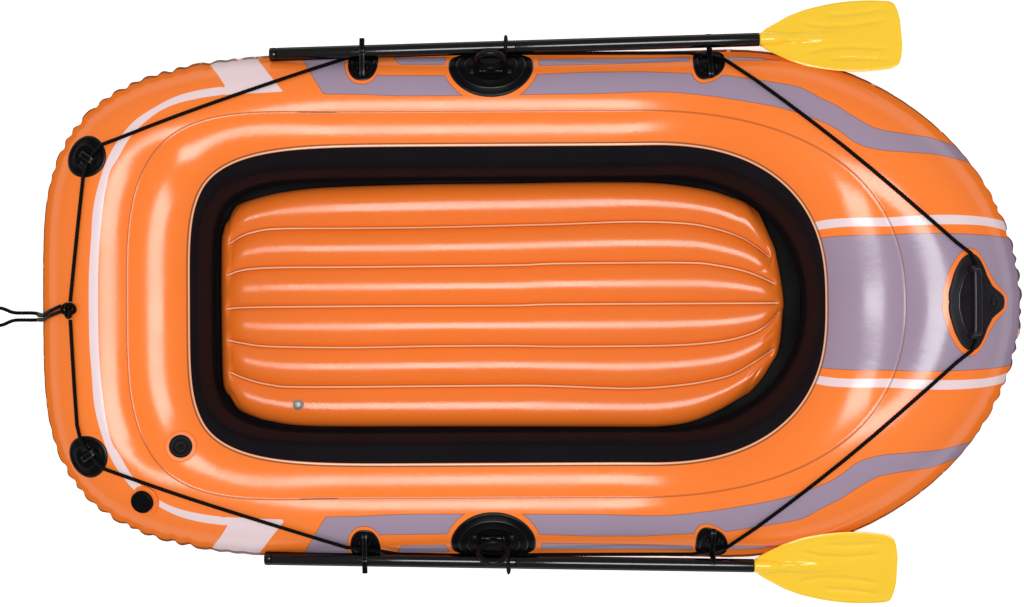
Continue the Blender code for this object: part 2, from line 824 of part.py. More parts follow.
def make_mattress():
    """The inflatable floor with its lengthwise channels."""
    line = PlanCurve(
        COCKPIT_LINE.stern + MATTRESS_INSET,
        COCKPIT_LINE.bow - MATTRESS_INSET,
        COCKPIT_LINE.half_beam - MATTRESS_INSET,
        COCKPIT_ROUNDING,
    )
    round_in = (0.985, 0.95, 0.88, 0.76, 0.58, 0.3)
    rows = [line.straight_aft - line.stern_round * s for s in round_in]
    straight = line.straight_fore - line.straight_aft
    rows += [line.straight_aft + straight * k / 3 for k in range(4)]
    rows += [line.straight_fore + line.bow_round * s for s in reversed(round_in)]

    def row(x):
        half = line.half_width(x)
        pinch = smooth((x - line.stern) / CHANNEL_PINCH_LENGTH)
        spacing = min(mix(CHANNEL_STERN_SPACING, CHANNEL_SPACING, pinch), half / CHANNELS_A_SIDE)
        end = min(x - line.stern, line.bow - x)
        roll = math.sqrt(1.0 - (1.0 - min(end / MATTRESS_END_ROLL, 1.0)) ** 2)
        top = []
        low = []
        steps = CHANNELS_A_SIDE * CHANNEL_STEPS
        for k in range(-steps, steps + 1):
            channel = k / CHANNEL_STEPS
            y = channel * spacing
            if abs(channel) > CHANNELS_A_SIDE - 1:
                inner = (CHANNELS_A_SIDE - 1) * spacing
                y = math.copysign(mix(inner, half, abs(channel) - CHANNELS_A_SIDE + 1), channel)
            high, under = mattress_heights(channel)
            lift = MATTRESS_RISE * ramp(x, MATTRESS_RISE_SPAN)
            top.append(Vector((x, y, lift + mix(MATTRESS_SEAM, high, roll))))
            low.append(Vector((x, y, lift + mix(MATTRESS_SEAM, under, roll))))
        return top + low[-2:0:-1]

    return new_object(
        "floor_mattress",
        lambda bm: closed_loft(bm, [row(x) for x in rows], around=False, closed_end=True),
        "orange PVC",
        50.0,
    )


def valve_profile():
    """Half section of a valve body: flange, collar, barrel and a vented web at the bottom."""
    return [
        (VALVE_BORE_RADIUS, VALVE_COLLAR_HEIGHT),
        (VALVE_COLLAR_RADIUS, VALVE_COLLAR_HEIGHT),
        (VALVE_COLLAR_RADIUS, 0.0018),
        (VALVE_FLANGE_RADIUS, 0.0012),
        (VALVE_FLANGE_RADIUS, -0.0065),
        (VALVE_BARREL_RADIUS, -0.0065),
        (VALVE_BARREL_RADIUS, -VALVE_DEPTH),
        (VALVE_VENT_RADIUS, -VALVE_DEPTH),
        (VALVE_VENT_RADIUS, -VALVE_DEPTH + VALVE_WEB),
        (VALVE_BORE_RADIUS, -VALVE_DEPTH + VALVE_WEB),
    ]


def cap_profile():
    """Half section of a screw cap: a domed top with a skirt round the collar."""
    inside = VALVE_COLLAR_RADIUS + CAP_GAP
    under = VALVE_COLLAR_HEIGHT + CAP_GAP
    top = under + CAP_TOP
    low = under - CAP_SKIRT
    return [
        (0.0, top - 0.0006),
        (0.004, top - 0.0006),
        (0.006, top),
        (CAP_RADIUS - 0.002, top),
        (CAP_RADIUS, top - 0.002),
        (CAP_RADIUS, low),
        (inside, low),
        (inside, under),
        (0.0, under),
    ]


def make_valve(name, hull, parts, place, tree):
    """A valve body sunk in its chamber, and the screw cap on it."""
    x = STERN_X + place["from_stern"]
    skin = hull.above(x, place["y"])
    frame = seat_frame(skin.point, skin.normal, skin.along)
    pockets = {f"{tree}_chamber": VALVE_POCKET_RADIUS, f"seat_{tree}": VALVE_POCKET_RADIUS - GAP}
    for target, radius in pockets.items():
        pocket = new_object(
            f"{name}_pocket_in_{target}",
            turned_maker(cylinder_profile(radius, -VALVE_DEPTH - 0.001, 0.02), 20),
            "black PVC",
        )
        pocket.matrix_world = frame
        make_cutter(pocket)
        boolean(parts[target], pocket, "DIFFERENCE")
    body = new_object(f"{name}_body", turned_maker(valve_profile(), 20, hollow=True), "moulded vinyl")
    body.matrix_world = frame
    boolean(body, parts[f"seat_{tree}"], "DIFFERENCE")
    cap = new_object(f"{name}_cap", turned_maker(cap_profile(), 20), "moulded vinyl")
    cap.matrix_world = frame


def make_floor_valve():
    """The small clear valve that stands on the floor's outer channel, and its plug."""
    base = MATTRESS_CROWN + 0.0005
    body = new_object(
        "floor_valve_body",
        turned_maker(
            [
                (FLOOR_PLUG_RADIUS + 0.0004, FLOOR_VALVE_HEIGHT),
                (FLOOR_VALVE_RADIUS * 0.7, FLOOR_VALVE_HEIGHT),
                (FLOOR_VALVE_RADIUS * 0.72, 0.003),
                (FLOOR_VALVE_RADIUS, 0.0015),
                (FLOOR_VALVE_RADIUS, 0.0),
                (FLOOR_PLUG_RADIUS + 0.0004, 0.0),
            ],
            16,
            hollow=True,
        ),
        "clear vinyl",
    )
    plug = new_object(
        "floor_valve_plug",
        turned_maker(
            [
                (0.0, FLOOR_VALVE_HEIGHT + 0.0032),
                (FLOOR_PLUG_RADIUS * 1.2, FLOOR_VALVE_HEIGHT + 0.0030),
                (FLOOR_PLUG_RADIUS * 1.5, FLOOR_VALVE_HEIGHT + 0.0018),
                (FLOOR_PLUG_RADIUS * 1.5, FLOOR_VALVE_HEIGHT + 0.0005),
                (FLOOR_PLUG_RADIUS, FLOOR_VALVE_HEIGHT + 0.0005),
                (FLOOR_PLUG_RADIUS * 0.8, 0.001),
                (0.0, 0.001),
            ],
            16,
        ),
        "clear vinyl",
    )
    x = COCKPIT_LINE.stern + FLOOR_VALVE["from_cockpit_stern"]
    for made in (body, plug):
        made.location = (x, FLOOR_VALVE["y"], base)


def make_eyelet(side, hull, parts):
    """A moulded eyelet on a stern quarter, with the bar that holds the grab line."""
    name = "port" if side > 0 else "starboard"
    skin = hull.above(STERN_X + EYELET_FROM_STERN, side * EYELET_Y)
    frame = seat_frame(skin.point, skin.normal, skin.along)
    heights = [(0.30, 0.0016), (0.48, 0.0018), (0.56, 0.0032), (0.64, 0.0030)]
    heights += [(0.94, EYELET_THICK), (1.0, PLATE_RIM)]
    plate = new_object(
        f"rope_eyelet_{name}",
        plate_maker(hull, "outer", frame, oval(EYELET_LENGTH, EYELET_WIDTH), heights, 28),
        "moulded vinyl",
    )
    normal = skin.normal
    run = Matrix.Rotation(side * EYELET_BAR_TURN, 3, "Z") @ Vector((1.0, 0.0, 0.0))
    run = (run - normal * run.dot(normal)).normalized()
    forward, outwards = EYELET_BAR_SHIFT
    middle = hull.above(STERN_X + EYELET_FROM_STERN + forward, side * (EYELET_Y + outwards)).point
    top = EYELET_ROPE_LIFT + ROPE_RADIUS + ROPE_GAP + EYELET_BAR_THICK / 2.0
    half = EYELET_BAR_LENGTH / 2.0
    shape = [(-half, -0.004), (-half, top * 0.6), (-half * 0.8, top)]
    shape += [(-a, b) for a, b in reversed(shape)]
    bar = new_object(
        f"eyelet_bar_{name}",
        bar_maker(
            [middle + run * a + normal * b for a, b in shape],
            normal.cross(run),
            EYELET_BAR_WIDTH,
            EYELET_BAR_THICK,
        ),
        "moulded vinyl",
    )
    boolean(plate, make_cutter(bar), "UNION")
    boolean(plate, parts["seat_outer"], "DIFFERENCE")


def oar_frame(side_name):
    """A frame on an oar's axis: origin at its aft end, X towards the blade."""
    oar = OARS[side_name]
    start = Vector(oar["aft"])
    along = (Vector(oar["fore"]) - start).normalized()
    side = 1.0 if side_name == "port" else -1.0
    flat = Vector((0.0, 0.0, 1.0)).cross(along).normalized()
    up = along.cross(flat)
    frame = Matrix((along, flat, up)).transposed().to_4x4()
    frame.translation = start
    return frame @ Matrix.Rotation(-side * BLADE_TILT, 4, "X")


def oar_point(side_name, x):
    """The point of an oar's axis at a place along the hull."""
    frame = oar_frame(side_name)
    along = frame.col[0].to_3d()
    return frame.translation + along * ((x - frame.translation.x) / along.x)


def strap_path(hull, place, side_name):
    """The strap's middle line: up from its patch, over the grab line and past the oar."""
    side = 1.0 if side_name == "port" else -1.0
    x = STRAP_X[place]
    out = Vector((0.0, side, 0.0))
    up = Vector((0.0, 0.0, 1.0))
    root = hull.at_angle(x, side, STRAP_ROOT_ANGLE)
    oar = oar_point(side_name, x)
    rope_y = STRAP_ROPE_Y[place]
    rope = Vector((x, side * rope_y, hull.rope_height(x, side * rope_y, PATCH_ROPE_LIFT)))
    over_rope = rope + (up + out * 0.4).normalized() * (ROPE_RADIUS + STRAP_THICK / 2.0 + 2.0 * STRAP_SLACK)
    clear = OAR_RADIUS + STRAP_THICK / 2.0 + STRAP_SLACK

    def round_oar(angle):
        return oar + (out * math.cos(angle) + up * math.sin(angle)) * clear

    start = hull.drape("outer", root.point - out * 0.010, root.normal) - root.normal * 0.004
    rise = root.point + root.normal * (STRAP_PATCH_THICK + 0.004)
    path = [start, rise]
    if place == "aft":
        path += [round_oar(math.radians(a)) for a in (120, 90, 60)]
        path.append(path[-1] + out * STRAP_TIP - up * 0.004)
    elif side_name == "starboard":
        path += [over_rope] + [round_oar(math.radians(a)) for a in (165, 130, 100)]
    else:
        path += [over_rope] + [round_oar(math.radians(a)) for a in (170, 200, 235, 265)]
        path.append(path[-1] + out * STRAP_TIP + up * 0.002)
    return path


def make_strap(place, side_name, hull, parts):
    """A D-shaped patch on the hull's shoulder with the moulded strap that keeps an oar."""
    side = 1.0 if side_name == "port" else -1.0
    seat = hull.at_angle(STRAP_X[place], side, STRAP_PATCH_ANGLE)
    frame = seat_frame(seat.point, seat.normal, seat.along)
    heights = [(0.45, STRAP_PATCH_THICK), (0.92, STRAP_PATCH_THICK), (1.0, PLATE_RIM)]
    patch = new_object(
        f"oar_strap_{place}_{side_name}",
        plate_maker(hull, "outer", frame, oval(STRAP_PATCH_LENGTH, STRAP_PATCH_WIDTH, 2.6), heights, 24),
        "moulded vinyl",
    )
    path = strap_path(hull, place, side_name)
    strap = make_cutter(
        new_object(
            f"strap_{place}_{side_name}",
            bar_maker(path, Vector((1.0, 0.0, 0.0)), STRAP_WIDTH, STRAP_THICK),
            "moulded vinyl",
        )
    )
    boolean(patch, strap, "UNION")
    boolean(patch, parts["seat_outer"], "DIFFERENCE")


def ring_pivot(hull, side):
    """The middle of the pin that an oarlock ring swings on."""
    skin = hull.at_angle(OARLOCK_X, side, RING_PIVOT_ANGLE)
    return skin.point + skin.normal * (OARLOCK_SEAT + RING_BARREL_RADIUS + 0.0015), skin


def make_oarlock(side_name, hull, parts):
    """The oarlock's welded plate with two lugs, and the ring that swings between them."""
    side = 1.0 if side_name == "port" else -1.0
    seat = hull.at_angle(OARLOCK_X, side, OARLOCK_HEIGHT_ANGLE)
    frame = seat_frame(seat.point, seat.normal, seat.along)
    heights = [
        (0.34, OARLOCK_SEAT),
        (0.44, OARLOCK_SEAT),
        (0.50, 0.0040),
        (0.66, 0.0038),
        (0.72, OARLOCK_PLATE_THICK),
        (0.95, OARLOCK_PLATE_THICK),
        (1.0, PLATE_RIM),
    ]
    plate = new_object(
        f"oarlock_plate_{side_name}",
        plate_maker(hull, "outer", frame, oval(OARLOCK_PLATE_LENGTH, OARLOCK_PLATE_WIDTH, 2.2), heights, 32),
        "moulded vinyl",
    )
    pivot, skin = ring_pivot(hull, side)
    for end in (-1.0, 1.0):
        middle = end * (RING_BARREL_LENGTH / 2.0 + RING_PIN_GAP + LUG_LENGTH / 2.0)
        base = skin.point + Vector((middle, 0.0, 0.0)) - skin.normal * 0.003
        tip = skin.point + Vector((middle, 0.0, 0.0)) + skin.normal * LUG_TOP
        across = skin.normal.cross(Vector((1.0, 0.0, 0.0)))
        lug = make_cutter(
            new_object(
                f"lug_{side_name}_{'fore' if end > 0 else 'aft'}",
                bar_maker([base, base.lerp(tip, 0.8), tip], across, LUG_WIDTH, LUG_LENGTH),
                "moulded vinyl",
            )
        )
        boolean(plate, lug, "UNION")
    reach = RING_BARREL_LENGTH / 2.0 + RING_PIN_GAP + LUG_LENGTH + 0.002
    hole_radius = RING_PIN_RADIUS + RING_PIN_GAP
    hole = make_cutter(
        new_object(
            f"pin_hole_{side_name}",
            turned_maker([(0.0, reach), (hole_radius, reach), (hole_radius, -reach), (0.0, -reach)], 12),
            "black PVC",
        )
    )
    hole.matrix_world = Matrix.Translation(pivot) @ Matrix.Rotation(math.pi / 2.0, 4, "Y")
    boolean(plate, hole, "DIFFERENCE")
    boolean(plate, parts["seat_outer"], "DIFFERENCE")
    make_ring(side_name, pivot, side)


def make_ring(side_name, pivot, side):
    """The oarlock ring: a fat ring on a short root, with a barrel and pin along the hull."""
    centre = RING_ROOT + RING_BORE_RADIUS + 2.0 * RING_TUBE_RADIUS
    ring_radius = RING_BORE_RADIUS + RING_TUBE_RADIUS

    def fill(bm):
        verts = []
        count = 8
        for k in range(count):
            angle = 2.0 * math.pi * k / count
            r = ring_radius + RING_TUBE_RADIUS * math.cos(angle)
            verts.append(bm.verts.new((r, 0.0, RING_TUBE_RADIUS * math.sin(angle))))
        edges = [bm.edges.new((verts[k], verts[(k + 1) % count])) for k in range(count)]
        spin_round_z(bm, verts + edges, 24)

    ring = new_object(f"oarlock_ring_{side_name}", fill, "moulded vinyl")
    ring.data.transform(Matrix.Translation((0.0, centre, 0.0)))
    pin = RING_BARREL_LENGTH / 2.0 + RING_PIN_GAP + LUG_LENGTH - 0.0005
    barrel = RING_BARREL_LENGTH / 2.0
    root = make_cutter(
        new_object(
            f"ring_root_{side_name}",
            turned_maker(
                [
                    (0.0, pin),
                    (RING_PIN_RADIUS, pin),
                    (RING_PIN_RADIUS, barrel),
                    (RING_BARREL_RADIUS, barrel),
                    (RING_BARREL_RADIUS, -barrel),
                    (RING_PIN_RADIUS, -barrel),
                    (RING_PIN_RADIUS, -pin),
                    (0.0, -pin),
                ],
                12,
            ),
            "moulded vinyl",
        )
    )
    root.data.transform(Matrix.Rotation(math.pi / 2.0, 4, "Y"))
    web = make_cutter(
        new_object(
            f"ring_web_{side_name}",
            bar_maker(
                [Vector((0.0, 0.001, 0.0)), Vector((0.0, RING_ROOT + RING_TUBE_RADIUS * 1.2, 0.0))],
                Vector((1.0, 0.0, 0.0)),
                0.020,
                0.0075,
            ),
            "moulded vinyl",
        )
    )
    boolean(ring, root, "UNION")
    boolean(ring, web, "UNION")
    lean = RING_LEAN[side_name]
    place = Matrix.Translation(pivot)
    if side < 0:
        place = place @ Matrix.Rotation(math.pi, 4, "Z")
    place = place @ Matrix.Rotation(lean, 4, "X")
    for made in (ring, root, web):
        made.matrix_world = place


def shaft_profile(length, cap_bore):
    """Half section of a shaft length: a bore at its aft end and a spigot at its fore end."""
    return [
        (0.0, cap_bore),
        (BORE_RADIUS, cap_bore),
        (BORE_RADIUS, 0.0),
        (OAR_RADIUS, 0.0),
        (OAR_RADIUS, length),
        (SPIGOT_RADIUS, length),
        (SPIGOT_RADIUS, length + SPIGOT_LENGTH),
        (0.0, length + SPIGOT_LENGTH),
    ]


def blade_maker():
    """The blade: a thin dished plate with a middle rib and two ridges that fade to its tip."""

    def fill(bm):
        columns = (-1.0, -0.86, -0.64, -0.46, -0.28, -0.12, 0.0, 0.12, 0.28, 0.46, 0.64, 0.86, 1.0)
        ridges = {-0.46: 1.0, 0.46: 1.0}
        rings = []
        for share, half_share in BLADE_OUTLINE:
            s = BLADE_LENGTH * share
            half = BLADE_HALF_WIDTH * half_share
            fade = 1.0 - smooth((share - 0.55) / 0.35)
            start = smooth(share / 0.15)
            top = []
            low = []
            for place in columns:
                middle = max(1.0 - abs(place) / 0.2, 0.0)
                rib = BLADE_RIB * middle * fade
                ridge = BLADE_RIDGE * ridges.get(place, 0.0) * fade * start
                rim = 0.0010 if abs(place) > 0.95 else 0.0
                top.append(Vector((s, place * half, BLADE_THICK / 2.0 + rib + ridge - rim)))
                low.append(Vector((s, place * half, -BLADE_THICK / 2.0 - rib * 0.4 + rim)))
            rings.append(top + low[::-1])
        closed_loft(bm, rings, around=False, closed_end=True)

    return fill


def make_oar(side_name):
    """One oar: end cap, two shaft lengths, blade and the ring that stops it in the oarlock."""
    frame = oar_frame(side_name)
    spin_x = Matrix.Rotation(math.pi / 2.0, 4, "Y")
    oar = OARS[side_name]
    shaft_end = (Vector(oar["fore"]) - Vector(oar["aft"])).length
    holder = bpy.data.objects.new(f"oar_axis_{side_name}", None)
    holder.matrix_world = frame
    bpy.context.scene.collection.objects.link(holder)
    joint = oar["joint"]
    reach = SPIGOT_LENGTH + 0.002
    lengths = {
        f"handle_shaft_{side_name}": (OAR_END_CAP + 0.0004, joint - OAR_END_CAP - 0.0008),
        f"blade_shaft_{side_name}": (joint, shaft_end - joint - 0.0004),
    }
    for name, (start, length) in lengths.items():
        tube = new_object(name, turned_maker(shaft_profile(length, reach), 16), "black tube")
        tube.parent = holder
        tube.matrix_local = Matrix.Translation((start, 0.0, 0.0)) @ spin_x
    cap = new_object(
        f"oar_end_cap_{side_name}",
        turned_maker(
            [
                (0.0, 0.0),
                (OAR_RADIUS - OAR_CAP_CHAMFER, 0.0),
                (OAR_RADIUS, OAR_CAP_CHAMFER),
                (OAR_RADIUS, OAR_END_CAP),
                (SPIGOT_RADIUS, OAR_END_CAP),
                (SPIGOT_RADIUS, OAR_END_CAP + 0.03),
                (0.0, OAR_END_CAP + 0.03),
            ],
            16,
        ),
        "black tube",
    )
    cap.parent = holder
    cap.matrix_local = spin_x
    blade = new_object(f"oar_blade_{side_name}", blade_maker(), "yellow plastic")
    neck = make_cutter(
        new_object(
            f"blade_neck_{side_name}",
            turned_maker(
                [
                    (0.0, -0.004),
                    (BLADE_NECK_RADIUS, -0.004),
                    (BLADE_NECK_RADIUS, BLADE_NECK_LENGTH),
                    (BLADE_NECK_RADIUS * 0.4, BLADE_NECK_LENGTH + 0.045),
                    (0.0, BLADE_NECK_LENGTH + 0.045),
                ],
                16,
            ),
            "yellow plastic",
        )
    )
    socket = make_cutter(
        new_object(
            f"blade_socket_{side_name}",
            turned_maker([(0.0, -0.01), (BORE_RADIUS, -0.01), (BORE_RADIUS, reach), (0.0, reach)], 16),
            "yellow plastic",
        )
    )
    for made in (blade, neck, socket):
        made.parent = holder
        made.matrix_local = Matrix.Translation((shaft_end + 0.004, 0.0, 0.0))
    neck.data.transform(spin_x)
    socket.data.transform(spin_x)
    boolean(blade, neck, "UNION")
    boolean(blade, socket, "DIFFERENCE")
    stop_at = (STOP_X - frame.translation.x) / frame.col[0][0]
    half = STOP_THICK / 2.0
    stop = new_object(
        f"oar_stop_{side_name}",
        turned_maker(
            [
                (STOP_BORE, half),
                (STOP_RADIUS - 0.003, half),
                (STOP_RADIUS, half * 0.3),
                (STOP_RADIUS, -half * 0.3),
                (STOP_RADIUS - 0.003, -half),
                (STOP_BORE, -half),
            ],
            20,
            hollow=True,
        ),
        "moulded vinyl",
    )
    stop.parent = holder
    stop.matrix_local = Matrix.Translation((stop_at, 0.0, 0.0)) @ spin_x


def handle_outline(angle):
    """Reach of the handle's plate at an angle from the bow, the same on both sides."""
    turned = math.degrees(math.acos(max(min(math.cos(angle), 1.0), -1.0)))
    for (near, near_reach), (far, far_reach) in zip(HANDLE_OUTLINE, HANDLE_OUTLINE[1:]):
        if turned <= far:
            return mix(near_reach, far_reach, (turned - near) / (far - near))
    return HANDLE_OUTLINE[-1][1]


def make_handle(hull, parts):
    """The bow handle: a welded plate and a raised grip with a finger gap under it."""
    skin = hull.above(BOW_X - HANDLE_FROM_BOW, 0.0)
    frame = seat_frame(skin.point, skin.normal, Vector((1.0, 0.0, 0.0)))
    ridge = HANDLE_PLATE_THICK + 0.001
    heights = [(0.4, 0.0018), (0.62, 0.0020), (0.70, ridge), (0.93, HANDLE_PLATE_THICK), (1.0, PLATE_RIM)]
    plate = new_object(
        "bow_handle",
        plate_maker(
            hull,
            "outer",
            frame,
            handle_outline,
            heights,
            40,
        ),
        "moulded vinyl",
    )
    normal = frame.col[2].to_3d()
    fore = frame.col[0].to_3d()
    half = GRIP_LENGTH / 2.0
    leg_x = -GRIP_AFT - (GRIP_WIDTH - GRIP_LEG) / 2.0 + GRIP_LEG_INSET
    foot = hull.drape("outer", frame @ Vector((leg_x, half, 0.0)), normal)
    foot_height = (foot - frame.translation).dot(normal) - 0.003
    shape = [(-half, GRIP_RISE * 0.5), (-half * 0.92, GRIP_RISE * 0.8), (-half * 0.75, GRIP_RISE)]
    shape += [(-y, z) for y, z in reversed(shape)]
    path = [frame @ Vector((-GRIP_AFT, y, z)) for y, z in shape]
    grip = new_object("handle_grip", bar_maker(path, fore, GRIP_WIDTH, GRIP_THICK), "moulded vinyl")
    boolean(plate, make_cutter(grip), "UNION")
    for end in (-1.0, 1.0):
        y = end * (half - 0.003)
        leg_path = [frame @ Vector((leg_x, y, z)) for z in (foot_height, GRIP_RISE * 0.6)]
        name = f"grip_leg_{'port' if end > 0 else 'starboard'}"
        leg = new_object(name, bar_maker(leg_path, fore, GRIP_LEG, 0.010), "moulded vinyl")
        boolean(plate, make_cutter(leg), "UNION")
    boolean(plate, parts["seat_outer"], "DIFFERENCE")


def taut_line(hull, anchors, spacing):
    """A rope pulled from anchor to anchor over the hull; each anchor is (x, y, lift above the skin)."""
    points = []
    for near, far in zip(anchors, anchors[1:]):
        length = math.hypot(far[0] - near[0], far[1] - near[1])
        steps = max(round(length / spacing), 1)
        kept = []
        for i in range(steps + 1):
            share = i / steps
            x, y, lift = (mix(near[k], far[k], share) for k in range(3))
            point = Vector((x, y, hull.rope_height(x, y, lift)))
            while len(kept) > 1 and rises_over(kept[-2], kept[-1], point):
                kept.pop()
            kept.append(point)
        points += kept[:-1]
    points.append(kept[-1])
    return points


def rises_over(first, middle, last):
    """Whether a straight line from first to last passes above the middle point."""
    near = (middle - first).xy.length
    far = (last - first).xy.length
    return first.z + (last.z - first.z) * near / far >= middle.z


def rope_object(name, points, finish):
    """A rope as a curve with a round section, through points on its middle line."""
    curve = bpy.data.curves.new(name, "CURVE")
    curve.dimensions = "3D"
    curve.bevel_depth = ROPE_RADIUS
    curve.bevel_resolution = 2
    curve.use_fill_caps = True
    line = curve.splines.new("POLY")
    line.points.add(len(points) - 1)
    for slot, point in zip(line.points, points):
        slot.co = (*point, 1.0)
    made = bpy.data.objects.new(name, curve)
    made.data.materials.append(make_material(name, finish))
    bpy.context.scene.collection.objects.link(made)
    return made


def make_grab_line(hull):
    """The grab line: from the knot round the raft through eyelets, straps and handle, back to the knot."""
    sides = []
    for side, start in ((1.0, GRAB_LINE_START_PORT), (-1.0, GRAB_LINE_START_STARBOARD)):
        anchors = [(x, side * y, lift) for x, y, lift in [start] + GRAB_LINE]
        sides.append(taut_line(hull, anchors, ROPE_SPACING))
    rope_object("grab_line", sides[0] + sides[1][::-1], "twisted rope")


def make_knot(hull):
    """The overhand knot that joins the grab line's ends, a three-lobed loop lying on the stern."""
    skin = hull.above(STERN_X + KNOT_PLACE["from_stern"], KNOT_PLACE["y"])
    middle = skin.point + skin.normal * (ROPE_RADIUS + KNOT_WEAVE + ROPE_GAP)
    frame = seat_frame(middle, skin.normal, skin.along)
    points = []
    for k in range(KNOT_STEPS):
        t = 2.0 * math.pi * k / KNOT_STEPS
        reach = KNOT_LOBE * (2.0 + math.cos(3.0 * t))
        local = Vector((reach * math.cos(2.0 * t), reach * math.sin(2.0 * t), KNOT_WEAVE * math.sin(3.0 * t)))
        points.append(frame @ local)
    knot = rope_object("grab_line_knot", points, "twisted rope")
    knot.data.splines[0].use_cyclic_u = True


def smooth_line(anchors, count):
    """Evenly spaced points on a smooth curve through the anchors."""
    rough = []
    for i in range(len(anchors) - 1):
        p0 = anchors[max(i - 1, 0)]
        p1 = anchors[i]
        p2 = anchors[i + 1]
        p3 = anchors[min(i + 2, len(anchors) - 1)]
        for k in range(12):
            t = k / 12.0
            bend = 2.0 * p0 - 5.0 * p1 + 4.0 * p2 - p3
            twist = 3.0 * p1 - p0 - 3.0 * p2 + p3
            rough.append(0.5 * (2.0 * p1 + (p2 - p0) * t + bend * t**2 + twist * t**3))
    rough.append(anchors[-1])
    return even_points(rough, count)


def make_tow_line(hull):
    """The doubled tow line: off the knot, over the stern, down to the ground and round a loop."""
    ground = ROPE_RADIUS + ROPE_GAP
    strands = []
    for over_hull, on_ground in ((TOW_PORT, TOW_PORT_GROUND), (TOW_STARBOARD, TOW_STARBOARD_GROUND)):
        strand = [Vector((x, y, hull.rope_height(x, y, ROPE_LIFT))) for x, y in over_hull]
        edge_y = over_hull[-1][1]
        strand += [Vector((x, edge_y, z)) for x, z in TOW_DROP]
        strand += [Vector((x, y, ground)) for x, y in on_ground]
        strands.append(strand)
    route = strands[0] + [Vector((x, y, ground)) for x, y in TOW_LOOP] + strands[1][::-1]
    rope_object("tow_line", smooth_line(route, TOW_POINTS), "twisted rope")


def main():
    clear_scene()
    hull = HullSkin()
    parts = make_hull()
    make_bottom_sheet()
    make_mattress()
    make_valve("outer_valve", hull, parts, OUTER_VALVE, "outer")
    make_valve("inner_valve", hull, parts, INNER_VALVE, "inner")
    make_floor_valve()
    for side in (1.0, -1.0):
        make_eyelet(side, hull, parts)
    for side_name in ("port", "starboard"):
        for place in STRAP_X:
            make_strap(place, side_name, hull, parts)
        make_oarlock(side_name, hull, parts)
        make_oar(side_name)
    make_handle(hull, parts)
    make_grab_line(hull)
    make_knot(hull)
    make_tow_line(hull)


main()
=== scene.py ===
"""Inflatable raft: its finished looks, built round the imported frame.

Laid out as an add-on and run as a script. Metres, +X to the bow, +Z up, the raft stands on z = 0.
"""

import math
from collections import namedtuple

import bmesh
import bpy
import numpy as np
from mathutils import Matrix, Vector
from mathutils.bvhtree import BVHTree


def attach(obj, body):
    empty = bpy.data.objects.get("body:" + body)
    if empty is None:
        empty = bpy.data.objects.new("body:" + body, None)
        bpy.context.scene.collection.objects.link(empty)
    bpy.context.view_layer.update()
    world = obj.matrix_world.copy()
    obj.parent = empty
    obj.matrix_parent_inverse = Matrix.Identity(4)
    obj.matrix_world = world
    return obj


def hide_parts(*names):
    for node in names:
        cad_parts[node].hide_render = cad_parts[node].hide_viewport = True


bl_info = {
    "name": "Inflatable Rowing Raft",
    "version": (1, 0, 0),
    "blender": (4, 5, 0),
    "location": "View3D > Sidebar > Raft",
    "description": "Builds the skins, floor, ropes, fittings and oars of an inflatable rowing raft",
    "category": "Add Mesh",
}

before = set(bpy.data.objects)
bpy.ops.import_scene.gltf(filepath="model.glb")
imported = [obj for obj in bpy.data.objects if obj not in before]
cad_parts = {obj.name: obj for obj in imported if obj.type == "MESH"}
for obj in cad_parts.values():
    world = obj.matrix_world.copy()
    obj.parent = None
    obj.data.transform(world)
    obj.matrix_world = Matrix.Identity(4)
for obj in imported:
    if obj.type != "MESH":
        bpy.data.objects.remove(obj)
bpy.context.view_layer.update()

# Hull, seen from above
HULL_LENGTH = 1.86
HULL_BEAM = 0.976
OUTER_WIDTH = {"side": 0.124, "stern": 0.185, "bow": 0.245}
INNER_WIDTH = {"side": 0.124, "stern": 0.147, "bow": 0.169}
OUTER_ROUNDING = {"stern": 0.739, "bow": 0.561, "stern_power": 3.73, "bow_power": 1.93}
WALL_ROUNDING = {"stern": 0.372, "bow": 0.498, "stern_power": 3.57, "bow_power": 2.2}
COCKPIT_ROUNDING = {"stern": 0.413, "bow": 0.247, "stern_power": 5.54, "bow_power": 2.04}
COAMING_ROUNDING = {"stern": 0.479, "bow": 0.322, "stern_power": 4.62, "bow_power": 2.36}
COAMING = {"stern": -0.634, "bow": 0.548, "half_beam": 0.3}

# Hull, in section
OUTER_RADIUS = {"side": 0.0965, "stern": 0.122, "bow": 0.154}
STERN_SWELL = (-0.35, -0.7)
BOW_SWELL = (0.15, 0.65)
BOW_LIFT = 0.045
BOW_LIFT_SPAN = (0.25, 0.685)
GROUND_FLAT = 0.004
FLANGE_WIDTH = 0.006
# At the bow the tube is drawn in and bares more of the flange
FLANGE_BARE = 0.006
FLANGE_BARE_FADE = 1.1
FLANGE_BARE_OUT = 0.3
FLANGE_CORNER = 0.0006
FLANGE_THICK = 0.0024
WALL_FACE = 0.001
SKIN_GAP = 0.0001
WELD_BEAD = 0.0003
REACH_STEP = 0.02

# Welded seam of the outer chamber: pleats where the skin gathers round the corners
PLEAT_PITCH = 0.034
PLEAT_WIDTH = 0.0085
PLEAT_DEPTH = 0.0068
PLEAT_FADE = 0.5
PLEAT_CALM = 0.55
PLEAT_EDGE = 1.15
PLEAT_SEED = 11
# Where the seam gathers and where its flange stands bare: spans along the raft, then out from its middle line
STERN_GATHER = {"x": (-0.48, -0.66), "y": (0.16, 0.26)}
BOW_GATHER = {"x": (0.62, 0.68), "y": (0.15, 0.1), "least": 0.35}
BOW_BARE = {"x": (0.66, 0.71), "y": (0.145, 0.105)}
SEAM_GATHER = 0.06
